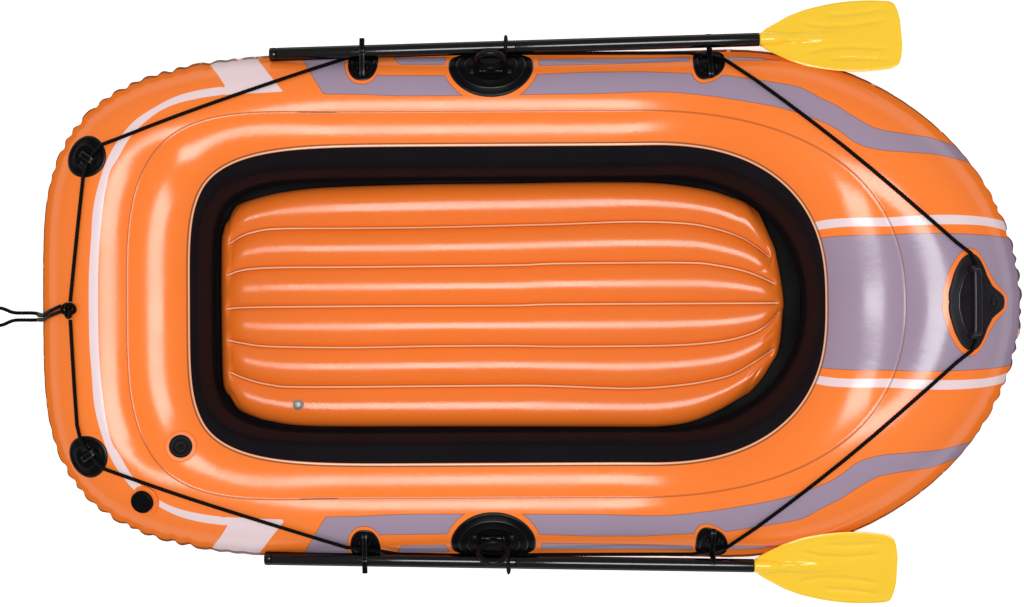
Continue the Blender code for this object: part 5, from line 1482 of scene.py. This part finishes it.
def make_grab_line():
    """The grab line: from the knot round the raft through eyelets, straps and handle, back to the knot."""
    sides = []
    for name, start in (("port", GRAB_LINE_START_PORT), ("starboard", GRAB_LINE_START_STARBOARD)):
        anchors = [start, *GRAB_LINE_STERN[name], *GRAB_LINE_QUARTER, *GRAB_LINE_SIDE[name], *GRAB_LINE_BOW]
        sides.append(taut_line(hull_skin(), [(x, side_sign(name) * y, lift) for x, y, lift in anchors]))
    path = sides[0] + sides[1][::-1][1:]
    bm = laid_rope(even_points(path, rope_points(path)), ROPE_RADIUS)
    stand_for("grab_line", bm, kind="rope", name="grab_line_rope")


def make_knot():
    """The overhand knot that joins the grab line's ends, lying on the stern."""
    skin = hull_skin().above(*KNOT_PLACE)
    middle = skin.point + skin.normal * (ROPE_RADIUS + KNOT_WEAVE + ROPE_GAP)
    seat = seat_frame(middle, skin.normal, skin.along)
    points = []
    for t in round_turn(96):
        reach = KNOT_LOBE * (2.0 + math.cos(3.0 * t))
        place = (reach * math.cos(2.0 * t), reach * math.sin(2.0 * t), KNOT_WEAVE * math.sin(3.0 * t))
        points.append(seat @ Vector(place))
    bm = laid_rope(points, ROPE_RADIUS, closed=True)
    stand_for("grab_line_knot", bm, kind="rope", name="grab_line_knot_rope")


def make_tow_line():
    """The doubled tow line: off the knot, over the stern, down to the ground and round a loop."""
    hull = hull_skin()
    ground = ROPE_LIFT
    strands = []
    for over_hull, on_ground in ((TOW_PORT, TOW_PORT_GROUND), (TOW_STARBOARD, TOW_STARBOARD_GROUND)):
        strand = [Vector((x, y, hull.rope_height(x, y, ROPE_LIFT))) for x, y in over_hull]
        strand += [Vector((x, over_hull[-1][1], z)) for x, z in TOW_DROP]
        strand += [Vector((x, y, ground)) for x, y in on_ground]
        strands.append(strand)
    route = strands[0] + [Vector((x, y, ground)) for x, y in TOW_LOOP] + strands[1][::-1]
    rough = smooth_path(route, 400)
    path = even_points(rough, rope_points(rough))
    made = stand_for("tow_line", laid_rope(path, ROPE_RADIUS), kind="rope", name="tow_line_rope")
    return made


# Shells that the fittings and the oars are made of


def gathered(shells):
    """Several closed shells as one mesh."""
    whole = bmesh.new()
    for shell in shells:
        mesh = bpy.data.meshes.new("shell")
        shell.to_mesh(mesh)
        shell.free()
        whole.from_mesh(mesh)
        bpy.data.meshes.remove(mesh)
    return outward_normals(whole)


def ring_shell(rows, closed=False):
    """A skin through rows of points that each run once round it, capped at its ends or closed on itself."""
    points = closed_round(np.array([[tuple(p) for p in row] for row in rows]))
    return capped(wrapped_grid(closed_along(points) if closed else points, {}))


def plate_shell(seat, outline, profile, columns=96, sink=0.003):
    """A moulded plate draped on the hull; its profile lists shares of its reach and heights, from its middle out."""
    normal = seat.col[2].to_3d()
    rows = []
    for share, height in [*profile, (1.0, -sink)]:
        row = []
        for angle in round_turn(columns):
            reach = float(outline(angle)) * share
            place = seat @ Vector((reach * math.cos(angle), reach * math.sin(angle), 0.0))
            row.append(hull_skin().drape("outer", place, normal) + normal * height)
        rows.append(row)
    return ring_shell(rows)


def bar_shell(path, across, width, thick, power=5.0, ribs=0.0):
    """A bar of rounded section along a path, its ends rounded; ribs is how far its thickness waves."""
    section = oval(width, thick, power)
    shape = [(float(section(a)) * math.cos(a), float(section(a)) * math.sin(a)) for a in round_turn(24)]
    count = len(path)
    rows = []
    for i, point in enumerate(path):
        run = (path[min(i + 1, count - 1)] - path[max(i - 1, 0)]).normalized()
        side = (across - run * across.dot(run)).normalized()
        up = side.cross(run)
        wave = 1.0 + ribs * math.cos(math.pi * i)
        row = [point + side * a + up * (b * wave) for a, b in shape]
        if i in (0, count - 1):
            out = run * (thick * (0.22 if i else -0.22))
            cap = [point + out + (p - point) * 0.72 for p in row]
            rows += [cap, row] if i == 0 else [row, cap]
        else:
            rows.append(row)
    return ring_shell(rows)


def rounded(profile, size, closed=False):
    """A profile with its corners cut round."""
    made = []
    count = len(profile)
    for i, corner in enumerate(profile):
        corner = Vector(corner)
        if not closed and i in (0, count - 1):
            made.append(tuple(corner))
            continue
        before = Vector(profile[i - 1]) - corner
        after = Vector(profile[(i + 1) % count]) - corner
        start = corner + before * min(size / before.length, 0.45)
        end = corner + after * min(size / after.length, 0.45)
        for t in (0.0, 0.33, 0.67, 1.0):
            made.append(tuple(start.lerp(corner, t).lerp(corner.lerp(end, t), t)))
    return made


def turned_shell(profile, frame_matrix, segments=72, closed=False):
    """A turned piece: (radius, height) points spun round the frame's Z."""
    bm = bmesh.new()
    verts = [bm.verts.new((r, 0.0, z)) for r, z in profile]
    edges = [bm.edges.new(pair) for pair in zip(verts, verts[1:])]
    if closed:
        edges.append(bm.edges.new((verts[-1], verts[0])))
    bmesh.ops.spin(
        bm,
        geom=verts + edges,
        cent=(0.0, 0.0, 0.0),
        axis=(0.0, 0.0, 1.0),
        angle=2.0 * math.pi,
        steps=segments,
        use_merge=True,
    )
    bmesh.ops.remove_doubles(bm, verts=bm.verts, dist=1e-6)
    bmesh.ops.transform(bm, matrix=frame_matrix, verts=bm.verts)
    return outward_normals(bm)


# Fittings


def make_eyelet(side_name):
    """A moulded eyelet on a stern quarter, with the bar that holds the grab line."""
    side = side_sign(side_name)
    hull = hull_skin()
    skin = hull.above(EYELET["x"], side * EYELET["y"])
    normal = skin.normal
    shells = [plate_shell(skin_frame(skin), oval(EYELET["length"], EYELET["width"]), EYELET_PROFILE)]
    run = Matrix.Rotation(side * EYELET_BAR["turn"], 3, "Z") @ FORWARD
    run = (run - normal * run.dot(normal)).normalized()
    across = normal.cross(run)
    forward, outwards = EYELET_BAR["shift"]
    middle = hull.above(EYELET["x"] + forward, side * (EYELET["y"] + outwards)).point
    top = EYELET_ROPE_LIFT + ROPE_RADIUS + ROPE_GAP + EYELET_BAR["thick"] / 2.0
    half = EYELET_BAR["length"] / 2.0
    shape = [(-half, -0.004), (-half, top * 0.6), (-half * 0.8, top)]
    shape += [(-a, b) for a, b in reversed(shape)]
    path = smooth_path([middle + run * a + normal * b for a, b in shape], 28)
    shells.append(bar_shell(path, across, EYELET_BAR["width"], EYELET_BAR["thick"], 6.0))
    ribs = EYELET_RIBS
    for step in ribs["steps"]:
        place = middle - run * ribs["aft"] + across * (side * -ribs["in"]) + run * (step * ribs["pitch"])
        ends = [place + across * a for a in (-ribs["half"], ribs["half"])]
        foot = [hull.drape("outer", end, normal) + normal * RIB_TOP for end in ends]
        shells.append(bar_shell(smooth_path(foot, 4), run, ribs["width"], RIB_TOP, 4.0))
    stand_for(f"rope_eyelet_{side_name}", gathered(shells), name=f"eyelet_{side_name}")


def oar_frame(side_name):
    """A frame on an oar's axis: origin at its aft end, X towards the blade."""
    oar = OARS[side_name]
    start = Vector(oar["aft"])
    along = (Vector(oar["fore"]) - start).normalized()
    flat = UP.cross(along).normalized()
    made = Matrix((along, flat, along.cross(flat))).transposed().to_4x4()
    made.translation = start
    return made @ Matrix.Rotation(-side_sign(side_name) * BLADE_TILT, 4, "X")


def oar_point(side_name, x):
    """The point of an oar's axis at a place along the hull."""
    seat = oar_frame(side_name)
    along = seat.col[0].to_3d()
    return seat.translation + along * ((x - seat.translation.x) / along.x)


def strap_path(place, side_name):
    """The strap's middle line: up from its patch, over the grab line and past the oar."""
    hull = hull_skin()
    side = side_sign(side_name)
    x = STRAP_X[place]
    out = Vector((0.0, side, 0.0))
    up = UP
    root = hull.at_angle(x, side, STRAP_ROOT_ANGLE)
    oar = oar_point(side_name, x)
    rope_y = STRAP_ROPE_Y[place]
    rope = Vector((x, side * rope_y, hull.rope_height(x, side * rope_y, PATCH_ROPE_LIFT)))
    over_rope = rope + (up + out * 0.4).normalized() * (ROPE_RADIUS + STRAP_THICK / 2.0 + 2.0 * STRAP_SLACK)
    clear = OAR_RADIUS + STRAP_THICK / 2.0 + STRAP_SLACK

    def round_oar(*degrees):
        turns = [math.radians(d) for d in degrees]
        return [oar + (out * math.cos(a) + up * math.sin(a)) * clear for a in turns]

    start = hull.drape("outer", root.point - out * 0.01, root.normal) - root.normal * 0.002
    path = [start, root.point + root.normal * (PATCH_THICK + 0.004)]
    if place == "aft":
        path += round_oar(120, 90, 60)
        path.append(path[-1] + out * STRAP_TIP - up * 0.004)
    elif side_name == "starboard":
        path += [over_rope] + round_oar(165, 130, 100)
    else:
        path += [over_rope] + round_oar(170, 200, 235, 265)
        path.append(path[-1] + out * STRAP_TIP + up * 0.002)
    return path


def make_strap(place, side_name):
    """A patch on the hull's shoulder with the ribbed strap that keeps an oar."""
    side = side_sign(side_name)
    seat = hull_skin().at_angle(STRAP_X[place], side, STRAP_PATCH_ANGLE)
    shells = [plate_shell(skin_frame(seat), oval(*STRAP_PATCH, STRAP_SQUARE), STRAP_PROFILE)]
    path = smooth_path(strap_path(place, side_name), 56)
    shells.append(bar_shell(path, FORWARD, STRAP_WIDTH, STRAP_THICK, 5.0, 0.1))
    block = STRAP_BLOCKS
    for way in (-1.0, 1.0):
        root = hull_skin().at_angle(STRAP_X[place] + way * block["x"], side, STRAP_ROOT_ANGLE - block["lower"])
        rise = [root.point + root.normal * block[end] for end in ("base", "top")]
        across = root.normal.cross(FORWARD)
        shells.append(bar_shell(smooth_path(rise, 6), across, block["width"], block["length"], 4.0))
    stand_for(f"oar_strap_{place}_{side_name}", gathered(shells))


def make_oarlock(side_name):
    """The oarlock's welded plate with its lugs, and the ring that swings between them."""
    side = side_sign(side_name)
    seat = hull_skin().at_angle(OARLOCK_X, side, OARLOCK_HEIGHT_ANGLE)
    shells = [plate_shell(skin_frame(seat), oval(*OARLOCK_PLATE, OARLOCK_SQUARE), OARLOCK_PROFILE, 128)]
    skin = hull_skin().at_angle(OARLOCK_X, side, RING_PIVOT_ANGLE)
    across = skin.normal.cross(FORWARD)
    for end in (-1.0, 1.0):
        lug = skin.point + FORWARD * (end * (BARREL_LENGTH / 2.0 + 0.0005 + LUG["length"] / 2.0))
        base = lug - skin.normal * 0.003
        tip = lug + skin.normal * LUG["top"]
        path = smooth_path([base, base.lerp(tip, 0.5), tip], 12)
        shells.append(bar_shell(path, across, LUG["width"], LUG["length"], 4.0))
        boss = skin.point + FORWARD * (end * BOSS["x"])
        path = smooth_path([boss, boss + skin.normal * BOSS["top"]], 4)
        shells.append(bar_shell(path, across, BOSS["width"], BOSS["length"], 7.0))
    stand_for(f"oarlock_plate_{side_name}", gathered(shells))
    pivot = Matrix.Translation(skin.point + skin.normal * (OARLOCK_SEAT + BARREL_RADIUS + 0.0015))
    if side < 0.0:
        pivot = pivot @ Matrix.Rotation(math.pi, 4, "Z")
    make_ring(side_name, pivot @ Matrix.Rotation(RING_LEAN[side_name], 4, "X"))


def make_ring(side_name, place):
    """The oarlock ring: a fat ring on a short root, with a barrel and pin along the hull."""
    centre = RING_ROOT + RING_BORE + 2.0 * RING_TUBE
    tube = [(RING_BORE + RING_TUBE + RING_TUBE * math.cos(a), RING_TUBE * math.sin(a)) for a in round_turn(20)]
    shells = [turned_shell(tube, place @ Matrix.Translation((0.0, centre, 0.0)), 72, True)]
    half = BARREL_LENGTH / 2.0
    pin = half + LUG["length"]
    sizes_of_rods = ((BARREL_RADIUS, half), (PIN_RADIUS, pin))
    barrel, rod = ([(0.0, end), (radius, end), (radius, -end), (0.0, -end)] for radius, end in sizes_of_rods)
    turned = place @ Matrix.Rotation(math.pi / 2.0, 4, "Y")
    shells += [turned_shell(rounded(barrel, 0.0008), turned, 24), turned_shell(rod, turned, 20)]
    web = smooth_path([(0.0, y, 0.0) for y in (0.001, 0.006, RING_ROOT + RING_TUBE * 1.3)], 8)
    across = place.col[0].to_3d()
    shells.append(bar_shell([place @ p for p in web], across, RING_WEB["width"], RING_WEB["thick"], 4.0))
    node = f"oarlock_ring_{side_name}"
    stand_for(node, gathered(shells), node)


def make_bow_handle():
    """The bow handle: a dished plate and a raised grip with a finger gap under it."""
    hull = hull_skin()
    seat = handle_frame(hull)
    shells = [plate_shell(seat, handle_outline, HANDLE_PROFILE, 128)]
    normal = seat.col[2].to_3d()
    fore = seat.col[0].to_3d()
    half = GRIP["length"] / 2.0
    leg_x = -GRIP["aft"] - (GRIP["width"] - GRIP["leg"]) / 2.0 + GRIP["inset"]
    foot = hull.drape("outer", seat @ Vector((leg_x, half, 0.0)), normal)
    foot_height = (foot - seat.translation).dot(normal) - GRIP["sink"]
    rise = GRIP["rise"]
    shape = [(-half, rise * 0.5), (-half * 0.92, rise * 0.8), (-half * 0.75, rise)]
    shape += [(-y, z) for y, z in reversed(shape)]
    path = smooth_path([seat @ Vector((-GRIP["aft"], y, z)) for y, z in shape], 48)
    shells.append(bar_shell(path, fore, GRIP["width"], GRIP["thick"], 4.5))
    pads = HANDLE_PADS
    for end in (-1.0, 1.0):
        leg = [seat @ Vector((leg_x, end * (half - 0.003), z)) for z in (foot_height, rise * 0.6)]
        shells.append(bar_shell(smooth_path(leg, 10), fore, GRIP["leg"], GRIP["leg_width"], 4.5))
        across = [seat @ Vector((pads["x"] + end * pads["step"], y, 0.0)) for y in (-pads["half"], pads["half"])]
        pad = [hull.drape("outer", place, normal) + normal * pads["lift"] for place in across]
        shells.append(bar_shell(smooth_path(pad, 6), fore, pads["width"], pads["lift"], 6.0))
    stand_for("bow_handle", gathered(shells), kind="handle_moulding")


def make_valve(chamber):
    """A welded valve flange in the hull's colour, and the black screw cap over its collar."""
    seat = skin_frame(hull_skin().above(*VALVES[chamber]))
    flange = [(0.0, -0.006), (VALVE_FLANGE, -0.006), (VALVE_FLANGE, 0.0012), (VALVE_FLANGE * 0.93, 0.002)]
    flange += [(VALVE_COLLAR + 0.0042, 0.002), (VALVE_COLLAR, 0.0022), (VALVE_COLLAR, VALVE_COLLAR_HEIGHT)]
    flange += [(VALVE_BORE, VALVE_COLLAR_HEIGHT), (VALVE_BORE, 0.001), (0.0, 0.001)]
    name = f"{chamber}_valve"
    body = turned_shell(rounded(flange, 0.0006), seat, 96)
    stand_for(f"{name}_body", body, kind="orange_moulding", name=f"{name}_flange")
    inside = VALVE_COLLAR + CAP_GAP
    under = VALVE_COLLAR_HEIGHT + CAP_GAP
    top = under + CAP_TOP
    low = under - CAP_SKIRT
    profile = [(radius, top + rise) for radius, rise in CAP_CROWNS[chamber]]
    profile += [(CAP_RADIUS - 0.0016, top), (CAP_RADIUS, top - 0.0016), (CAP_RADIUS, low), (inside, low)]
    profile += [(inside, under), (0.0, under)]
    stand_for(f"{name}_cap", turned_shell(rounded(profile, 0.0005), seat, 96), f"{name}_cap")


def make_floor_valve():
    """The small clear valve on the floor's outer channel, with its plug in it."""
    place = Matrix.Translation(FLOOR_VALVE["place"])
    radius, height, plug = (FLOOR_VALVE[key] for key in ("radius", "height", "plug"))
    bore = plug + 0.0004
    body = [(bore, height), (radius * 0.7, height), (radius * 0.72, 0.003), (radius, 0.0014), (radius, 0.0)]
    shell = turned_shell(rounded([*body, (bore, 0.0)], 0.0006, True), place, 56, True)
    stand_for("floor_valve_body", shell, kind="clear_vinyl")
    knob = [(0.0, height + 0.0032), (plug * 1.2, height + 0.003), (plug * 1.5, height + 0.0018)]
    knob += [(plug * 1.5, height + 0.0005), (plug, height + 0.0005), (plug * 0.8, 0.001), (0.0, 0.001)]
    shell = turned_shell(rounded(knob, 0.0005), place, 48)
    stand_for("floor_valve_plug", shell, "floor_valve_plug", "clear_vinyl")


# Oars


def blade_rise(along, across, side):
    """How far the blade's face stands up or is pressed in, by shares of its length and width."""
    off = abs(side)
    rise = 0.0
    for track in BLADE_FLUTES:
        fade = FLUTE["fade"]
        held = float(smooth((along - track[0][0]) / fade) * smooth((track[-1][0] + 0.05 - along) / fade))
        centre = float(np.interp(along, *zip(*track)))
        rise -= FLUTE["depth"] * held * math.exp(-(((off - centre) / FLUTE["width"]) ** 2))
    spine = float(smooth((0.66 - along) / 0.6)) * float(smooth((BLADE_SPINE["half"] - off) / BLADE_SPINE["edge"]))
    edge = max(abs(across) - 0.93, 0.0) / 0.07
    lip = 0.0006 * math.exp(-(((abs(across) - 0.92) / 0.04) ** 2)) + 0.0026 * float(smooth((along - 0.9) / 0.07))
    return rise + BLADE_SPINE["rise"] * spine + lip - 0.0012 * edge * edge


def make_blade(side_name, place):
    """The moulded blade: a thin fluted plate with a lipped edge on a round neck."""
    columns = np.sin(np.linspace(-1.0, 1.0, 81) * math.pi / 2.0)
    outline = smooth_curve(BLADE_OUTLINE)
    rows = []
    for share in np.linspace(0.0, BLADE_OUTLINE[-1][0], 150):
        half = BLADE_HALF_WIDTH * float(np.interp(share, *zip(*outline)))
        scoop = 0.006 * share * share - BLADE_THICK / 2.0
        rises = [blade_rise(share, c, c * half) for c in columns]
        top = [(c * half, r + scoop + BLADE_THICK) for c, r in zip(columns, rises)]
        low = [(c * half, 0.4 * max(r, 0.0) + scoop) for c, r in zip(columns, rises)]
        rows.append([place @ Vector((BLADE_LENGTH * share, y, z)) for y, z in top + low[::-1]])
    radius, length, fade = (BLADE_NECK[key] for key in ("radius", "length", "fade"))
    neck = [(0.0, -0.004), (radius, -0.004), (radius, length * 0.55), (radius * 0.78, length)]
    neck += [(radius * 0.3, length + fade), (0.0, length + fade)]
    spun = turned_shell(rounded(neck, 0.004), place @ Matrix.Rotation(math.pi / 2.0, 4, "Y"), 64)
    shells = gathered([ring_shell(rows), spun])
    stand_for(f"oar_blade_{side_name}", shells, f"oar_{side_name}", "yellow_plastic")


def make_oar(side_name):
    """One oar: end cap, two shaft lengths, blade and the ring that stops it in the oarlock."""
    place = oar_frame(side_name)
    body = f"oar_{side_name}"
    spun = place @ Matrix.Rotation(math.pi / 2.0, 4, "Y")
    oar = OARS[side_name]
    end = (Vector(oar["fore"]) - Vector(oar["aft"])).length
    joint = oar["joint"]
    spans = {
        "oar_end_cap": (0.0, OAR_END_CAP, 0.003, 0.0002),
        "handle_shaft": (OAR_END_CAP + SHAFT_GAP, joint - SHAFT_GAP, 0.0004, 0.0),
        "blade_shaft": (joint, end - SHAFT_GAP, 0.001, 0.0),
    }
    for kind, (start, stop, corner, proud) in spans.items():
        radius = OAR_RADIUS + proud
        profile = rounded([(0.0, start), (radius, start), (radius, stop), (0.0, stop)], corner)
        node = f"{kind}_{side_name}"
        stand_for(node, turned_shell(profile, spun, 64), body, "black_tube", name=f"{node}_tube")
    make_blade(side_name, place @ Matrix.Translation((end + 0.004, 0.0, 0.0)))
    at = (STOP["x"] - place.translation.x) / place.col[0][0]
    half = STOP["thick"] / 2.0
    outer, bore = STOP["radius"], STOP["bore"]
    ring = [(bore, at + half), (outer - 0.003, at + half), (outer, at + half * 0.3), (outer, at - half * 0.3)]
    ring += [(outer - 0.003, at - half), (bore, at - half)]
    node = f"oar_stop_{side_name}"
    stand_for(node, turned_shell(rounded(ring, 0.0009, True), spun, 72, True), node)


# Frame nodes that keep their own shape


def finish_node(node, kind):
    """Gives a frame node its finish."""
    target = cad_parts[node]
    target.data.materials.clear()
    target.data.materials.append(material(kind))


# Stage


def make_stage():
    """Camera straight above, a pale floor, a wide overhead softbox and an even room."""
    scene = bpy.context.scene
    given = sizes()
    lens = bpy.data.cameras.new("camera")
    lens.lens = given.lens
    lens.sensor_width = SENSOR_WIDTH
    lens.shift_x, lens.shift_y = (shift / IMAGE_WIDTH for shift in CAMERA_SHIFT)
    camera = bpy.data.objects.new("camera", lens)
    camera.location = (0.0, 0.0, given.camera_height)
    camera.rotation_euler = (0.0, 0.0, CAMERA_TURN)
    scene.collection.objects.link(camera)
    scene.camera = camera

    bm = bmesh.new()
    bmesh.ops.create_grid(bm, x_segments=1, y_segments=1, size=PAPER_HALF)
    mesh = bpy.data.meshes.new("studio_floor")
    bm.to_mesh(mesh)
    bm.free()
    floor = bpy.data.objects.new("studio_floor", mesh)
    scene.collection.objects.link(floor)
    floor.data.materials.append(stage_material())

    light = bpy.data.lights.new("softbox", "AREA")
    light.shape = "RECTANGLE"
    light.size, light.size_y = SOFTBOX["sides"]
    light.energy = SOFTBOX["watts"]
    lamp = bpy.data.objects.new("softbox", light)
    lamp.location = (0.0, 0.0, SOFTBOX["height"])
    scene.collection.objects.link(lamp)

    world = bpy.data.worlds.new("studio")
    scene.world = world
    world.use_nodes = True
    tree = world.node_tree
    background = tree.nodes["Background"]
    background.inputs["Color"].default_value = (1.0, 1.0, 1.0, 1.0)
    rays = add(tree, "ShaderNodeLightPath")
    lost = calculate(tree, "MULTIPLY", rays.outputs["Is Glossy Ray"], ROOM_LOST_IN_GLOSS)
    tree.links.new(calculate(tree, "SUBTRACT", ROOM_LIGHT, lost), background.inputs["Strength"])
    scene.view_settings.view_transform = "Standard"


def stage_material():
    """Matt white paper sweep: shown white to the camera, with the raft's shadow kept."""
    made, tree, shader = new_material("studio paper", Roughness=0.9)
    rays = add(tree, "ShaderNodeLightPath")
    seen = calculate(tree, "MAXIMUM", rays.outputs["Is Camera Ray"], rays.outputs["Is Glossy Ray"])
    seen = calculate(tree, "MAXIMUM", seen, rays.outputs["Is Transmission Ray"])
    paper = blend_colours(tree, seen, shade(colour("backdrop"), PAPER_SHADE), colour("backdrop"))
    tree.links.new(paper, shader.inputs["Base Color"])
    glow = add(tree, "ShaderNodeEmission", {"Strength": PAPER_GLOW})
    nothing = add(tree, "ShaderNodeEmission", {"Strength": 0.0})
    extra = add(tree, "ShaderNodeMixShader", None, {0: seen, 1: nothing.outputs[0], 2: glow.outputs[0]})
    both = add(tree, "ShaderNodeAddShader", None, {0: shader.outputs[0], 1: extra.outputs[0]})
    tree.links.new(both.outputs[0], tree.nodes["Material Output"].inputs["Surface"])
    return made


# Operators


class RAFT_OT_stage(bpy.types.Operator):
    """Set up the camera, the floor and the studio light"""

    bl_idname = "raft.stage"
    bl_label = "Studio"

    def execute(self, context):
        make_stage()
        return {"FINISHED"}


class RAFT_OT_tow_line(bpy.types.Operator):
    """Make the tow line"""

    bl_idname = "raft.tow_line"
    bl_label = "Tow Line"

    def execute(self, context):
        make_tow_line()
        return {"FINISHED"}


class RAFT_OT_grab_line(bpy.types.Operator):
    """Make the grab line and its knot"""

    bl_idname = "raft.grab_line"
    bl_label = "Grab Line"

    def execute(self, context):
        make_grab_line()
        make_knot()
        return {"FINISHED"}


class RAFT_OT_chambers(bpy.types.Operator):
    """Make the skins of the two air chambers"""

    bl_idname = "raft.chambers"
    bl_label = "Air Chambers"

    def execute(self, context):
        make_chamber("outer_chamber", outer_chamber_grid)
        make_chamber("inner_chamber", inner_chamber_grid)
        for node in ("chamber_partition", "bottom_sheet"):
            finish_node(node, "black_pvc")
        return {"FINISHED"}


class RAFT_OT_floor(bpy.types.Operator):
    """Make the inflatable floor"""

    bl_idname = "raft.floor"
    bl_label = "Floor"

    def execute(self, context):
        make_floor()
        return {"FINISHED"}


class RAFT_OT_eyelets(bpy.types.Operator):
    """Make the grab line's eyelets on the stern quarters"""

    bl_idname = "raft.eyelets"
    bl_label = "Rope Eyelets"

    def execute(self, context):
        for side_name in SIDES:
            make_eyelet(side_name)
        return {"FINISHED"}


class RAFT_OT_straps(bpy.types.Operator):
    """Make the oar straps with their patches"""

    bl_idname = "raft.straps"
    bl_label = "Oar Straps"

    def execute(self, context):
        for side_name in SIDES:
            for place in STRAP_X:
                make_strap(place, side_name)
        return {"FINISHED"}


class RAFT_OT_oarlocks(bpy.types.Operator):
    """Make the oarlock plates and their rings"""

    bl_idname = "raft.oarlocks"
    bl_label = "Oarlocks"

    def execute(self, context):
        for side_name in SIDES:
            make_oarlock(side_name)
        return {"FINISHED"}


class RAFT_OT_bow_handle(bpy.types.Operator):
    """Make the bow handle"""

    bl_idname = "raft.bow_handle"
    bl_label = "Bow Handle"

    def execute(self, context):
        make_bow_handle()
        return {"FINISHED"}


class RAFT_OT_valves(bpy.types.Operator):
    """Make the chambers' valves and the floor's valve"""

    bl_idname = "raft.valves"
    bl_label = "Valves"

    def execute(self, context):
        for chamber in VALVES:
            make_valve(chamber)
        make_floor_valve()
        return {"FINISHED"}


class RAFT_OT_oars(bpy.types.Operator):
    """Make both oars"""

    bl_idname = "raft.oars"
    bl_label = "Oars"

    def execute(self, context):
        for side_name in SIDES:
            make_oar(side_name)
        return {"FINISHED"}


class RAFT_PT_panel(bpy.types.Panel):
    """Lists the raft's pieces"""

    bl_idname = "RAFT_PT_panel"
    bl_label = "Inflatable Raft"
    bl_space_type = "VIEW_3D"
    bl_region_type = "UI"
    bl_category = "Raft"

    def draw(self, context):
        for operator in OPERATORS:
            self.layout.operator(operator.bl_idname)
        for group in (context.scene.raft_sizes, context.scene.raft_colours):
            for name in group.bl_rna.properties.keys():
                if name not in ("name", "rna_type"):
                    self.layout.prop(group, name)


OPERATORS = (
    RAFT_OT_stage,
    RAFT_OT_tow_line,
    RAFT_OT_grab_line,
    RAFT_OT_chambers,
    RAFT_OT_floor,
    RAFT_OT_eyelets,
    RAFT_OT_straps,
    RAFT_OT_oarlocks,
    RAFT_OT_bow_handle,
    RAFT_OT_valves,
    RAFT_OT_oars,
)
CLASSES = (RaftSizes, RaftColours, *OPERATORS, RAFT_PT_panel)


def register():
    for item in CLASSES:
        bpy.utils.register_class(item)
    bpy.types.Scene.raft_sizes = bpy.props.PointerProperty(type=RaftSizes)
    bpy.types.Scene.raft_colours = bpy.props.PointerProperty(type=RaftColours)


def unregister():
    del bpy.types.Scene.raft_colours
    del bpy.types.Scene.raft_sizes
    for item in reversed(CLASSES):
        bpy.utils.unregister_class(item)


def main():
    """Makes the raft and its stage."""
    register()
    bpy.ops.raft.stage()
    bpy.ops.raft.tow_line()
    bpy.ops.raft.grab_line()
    bpy.ops.raft.chambers()
    bpy.ops.raft.floor()
    bpy.ops.raft.eyelets()
    bpy.ops.raft.straps()
    bpy.ops.raft.oarlocks()
    bpy.ops.raft.bow_handle()
    bpy.ops.raft.valves()
    bpy.ops.raft.oars()


if __name__ == "__main__":
    main()
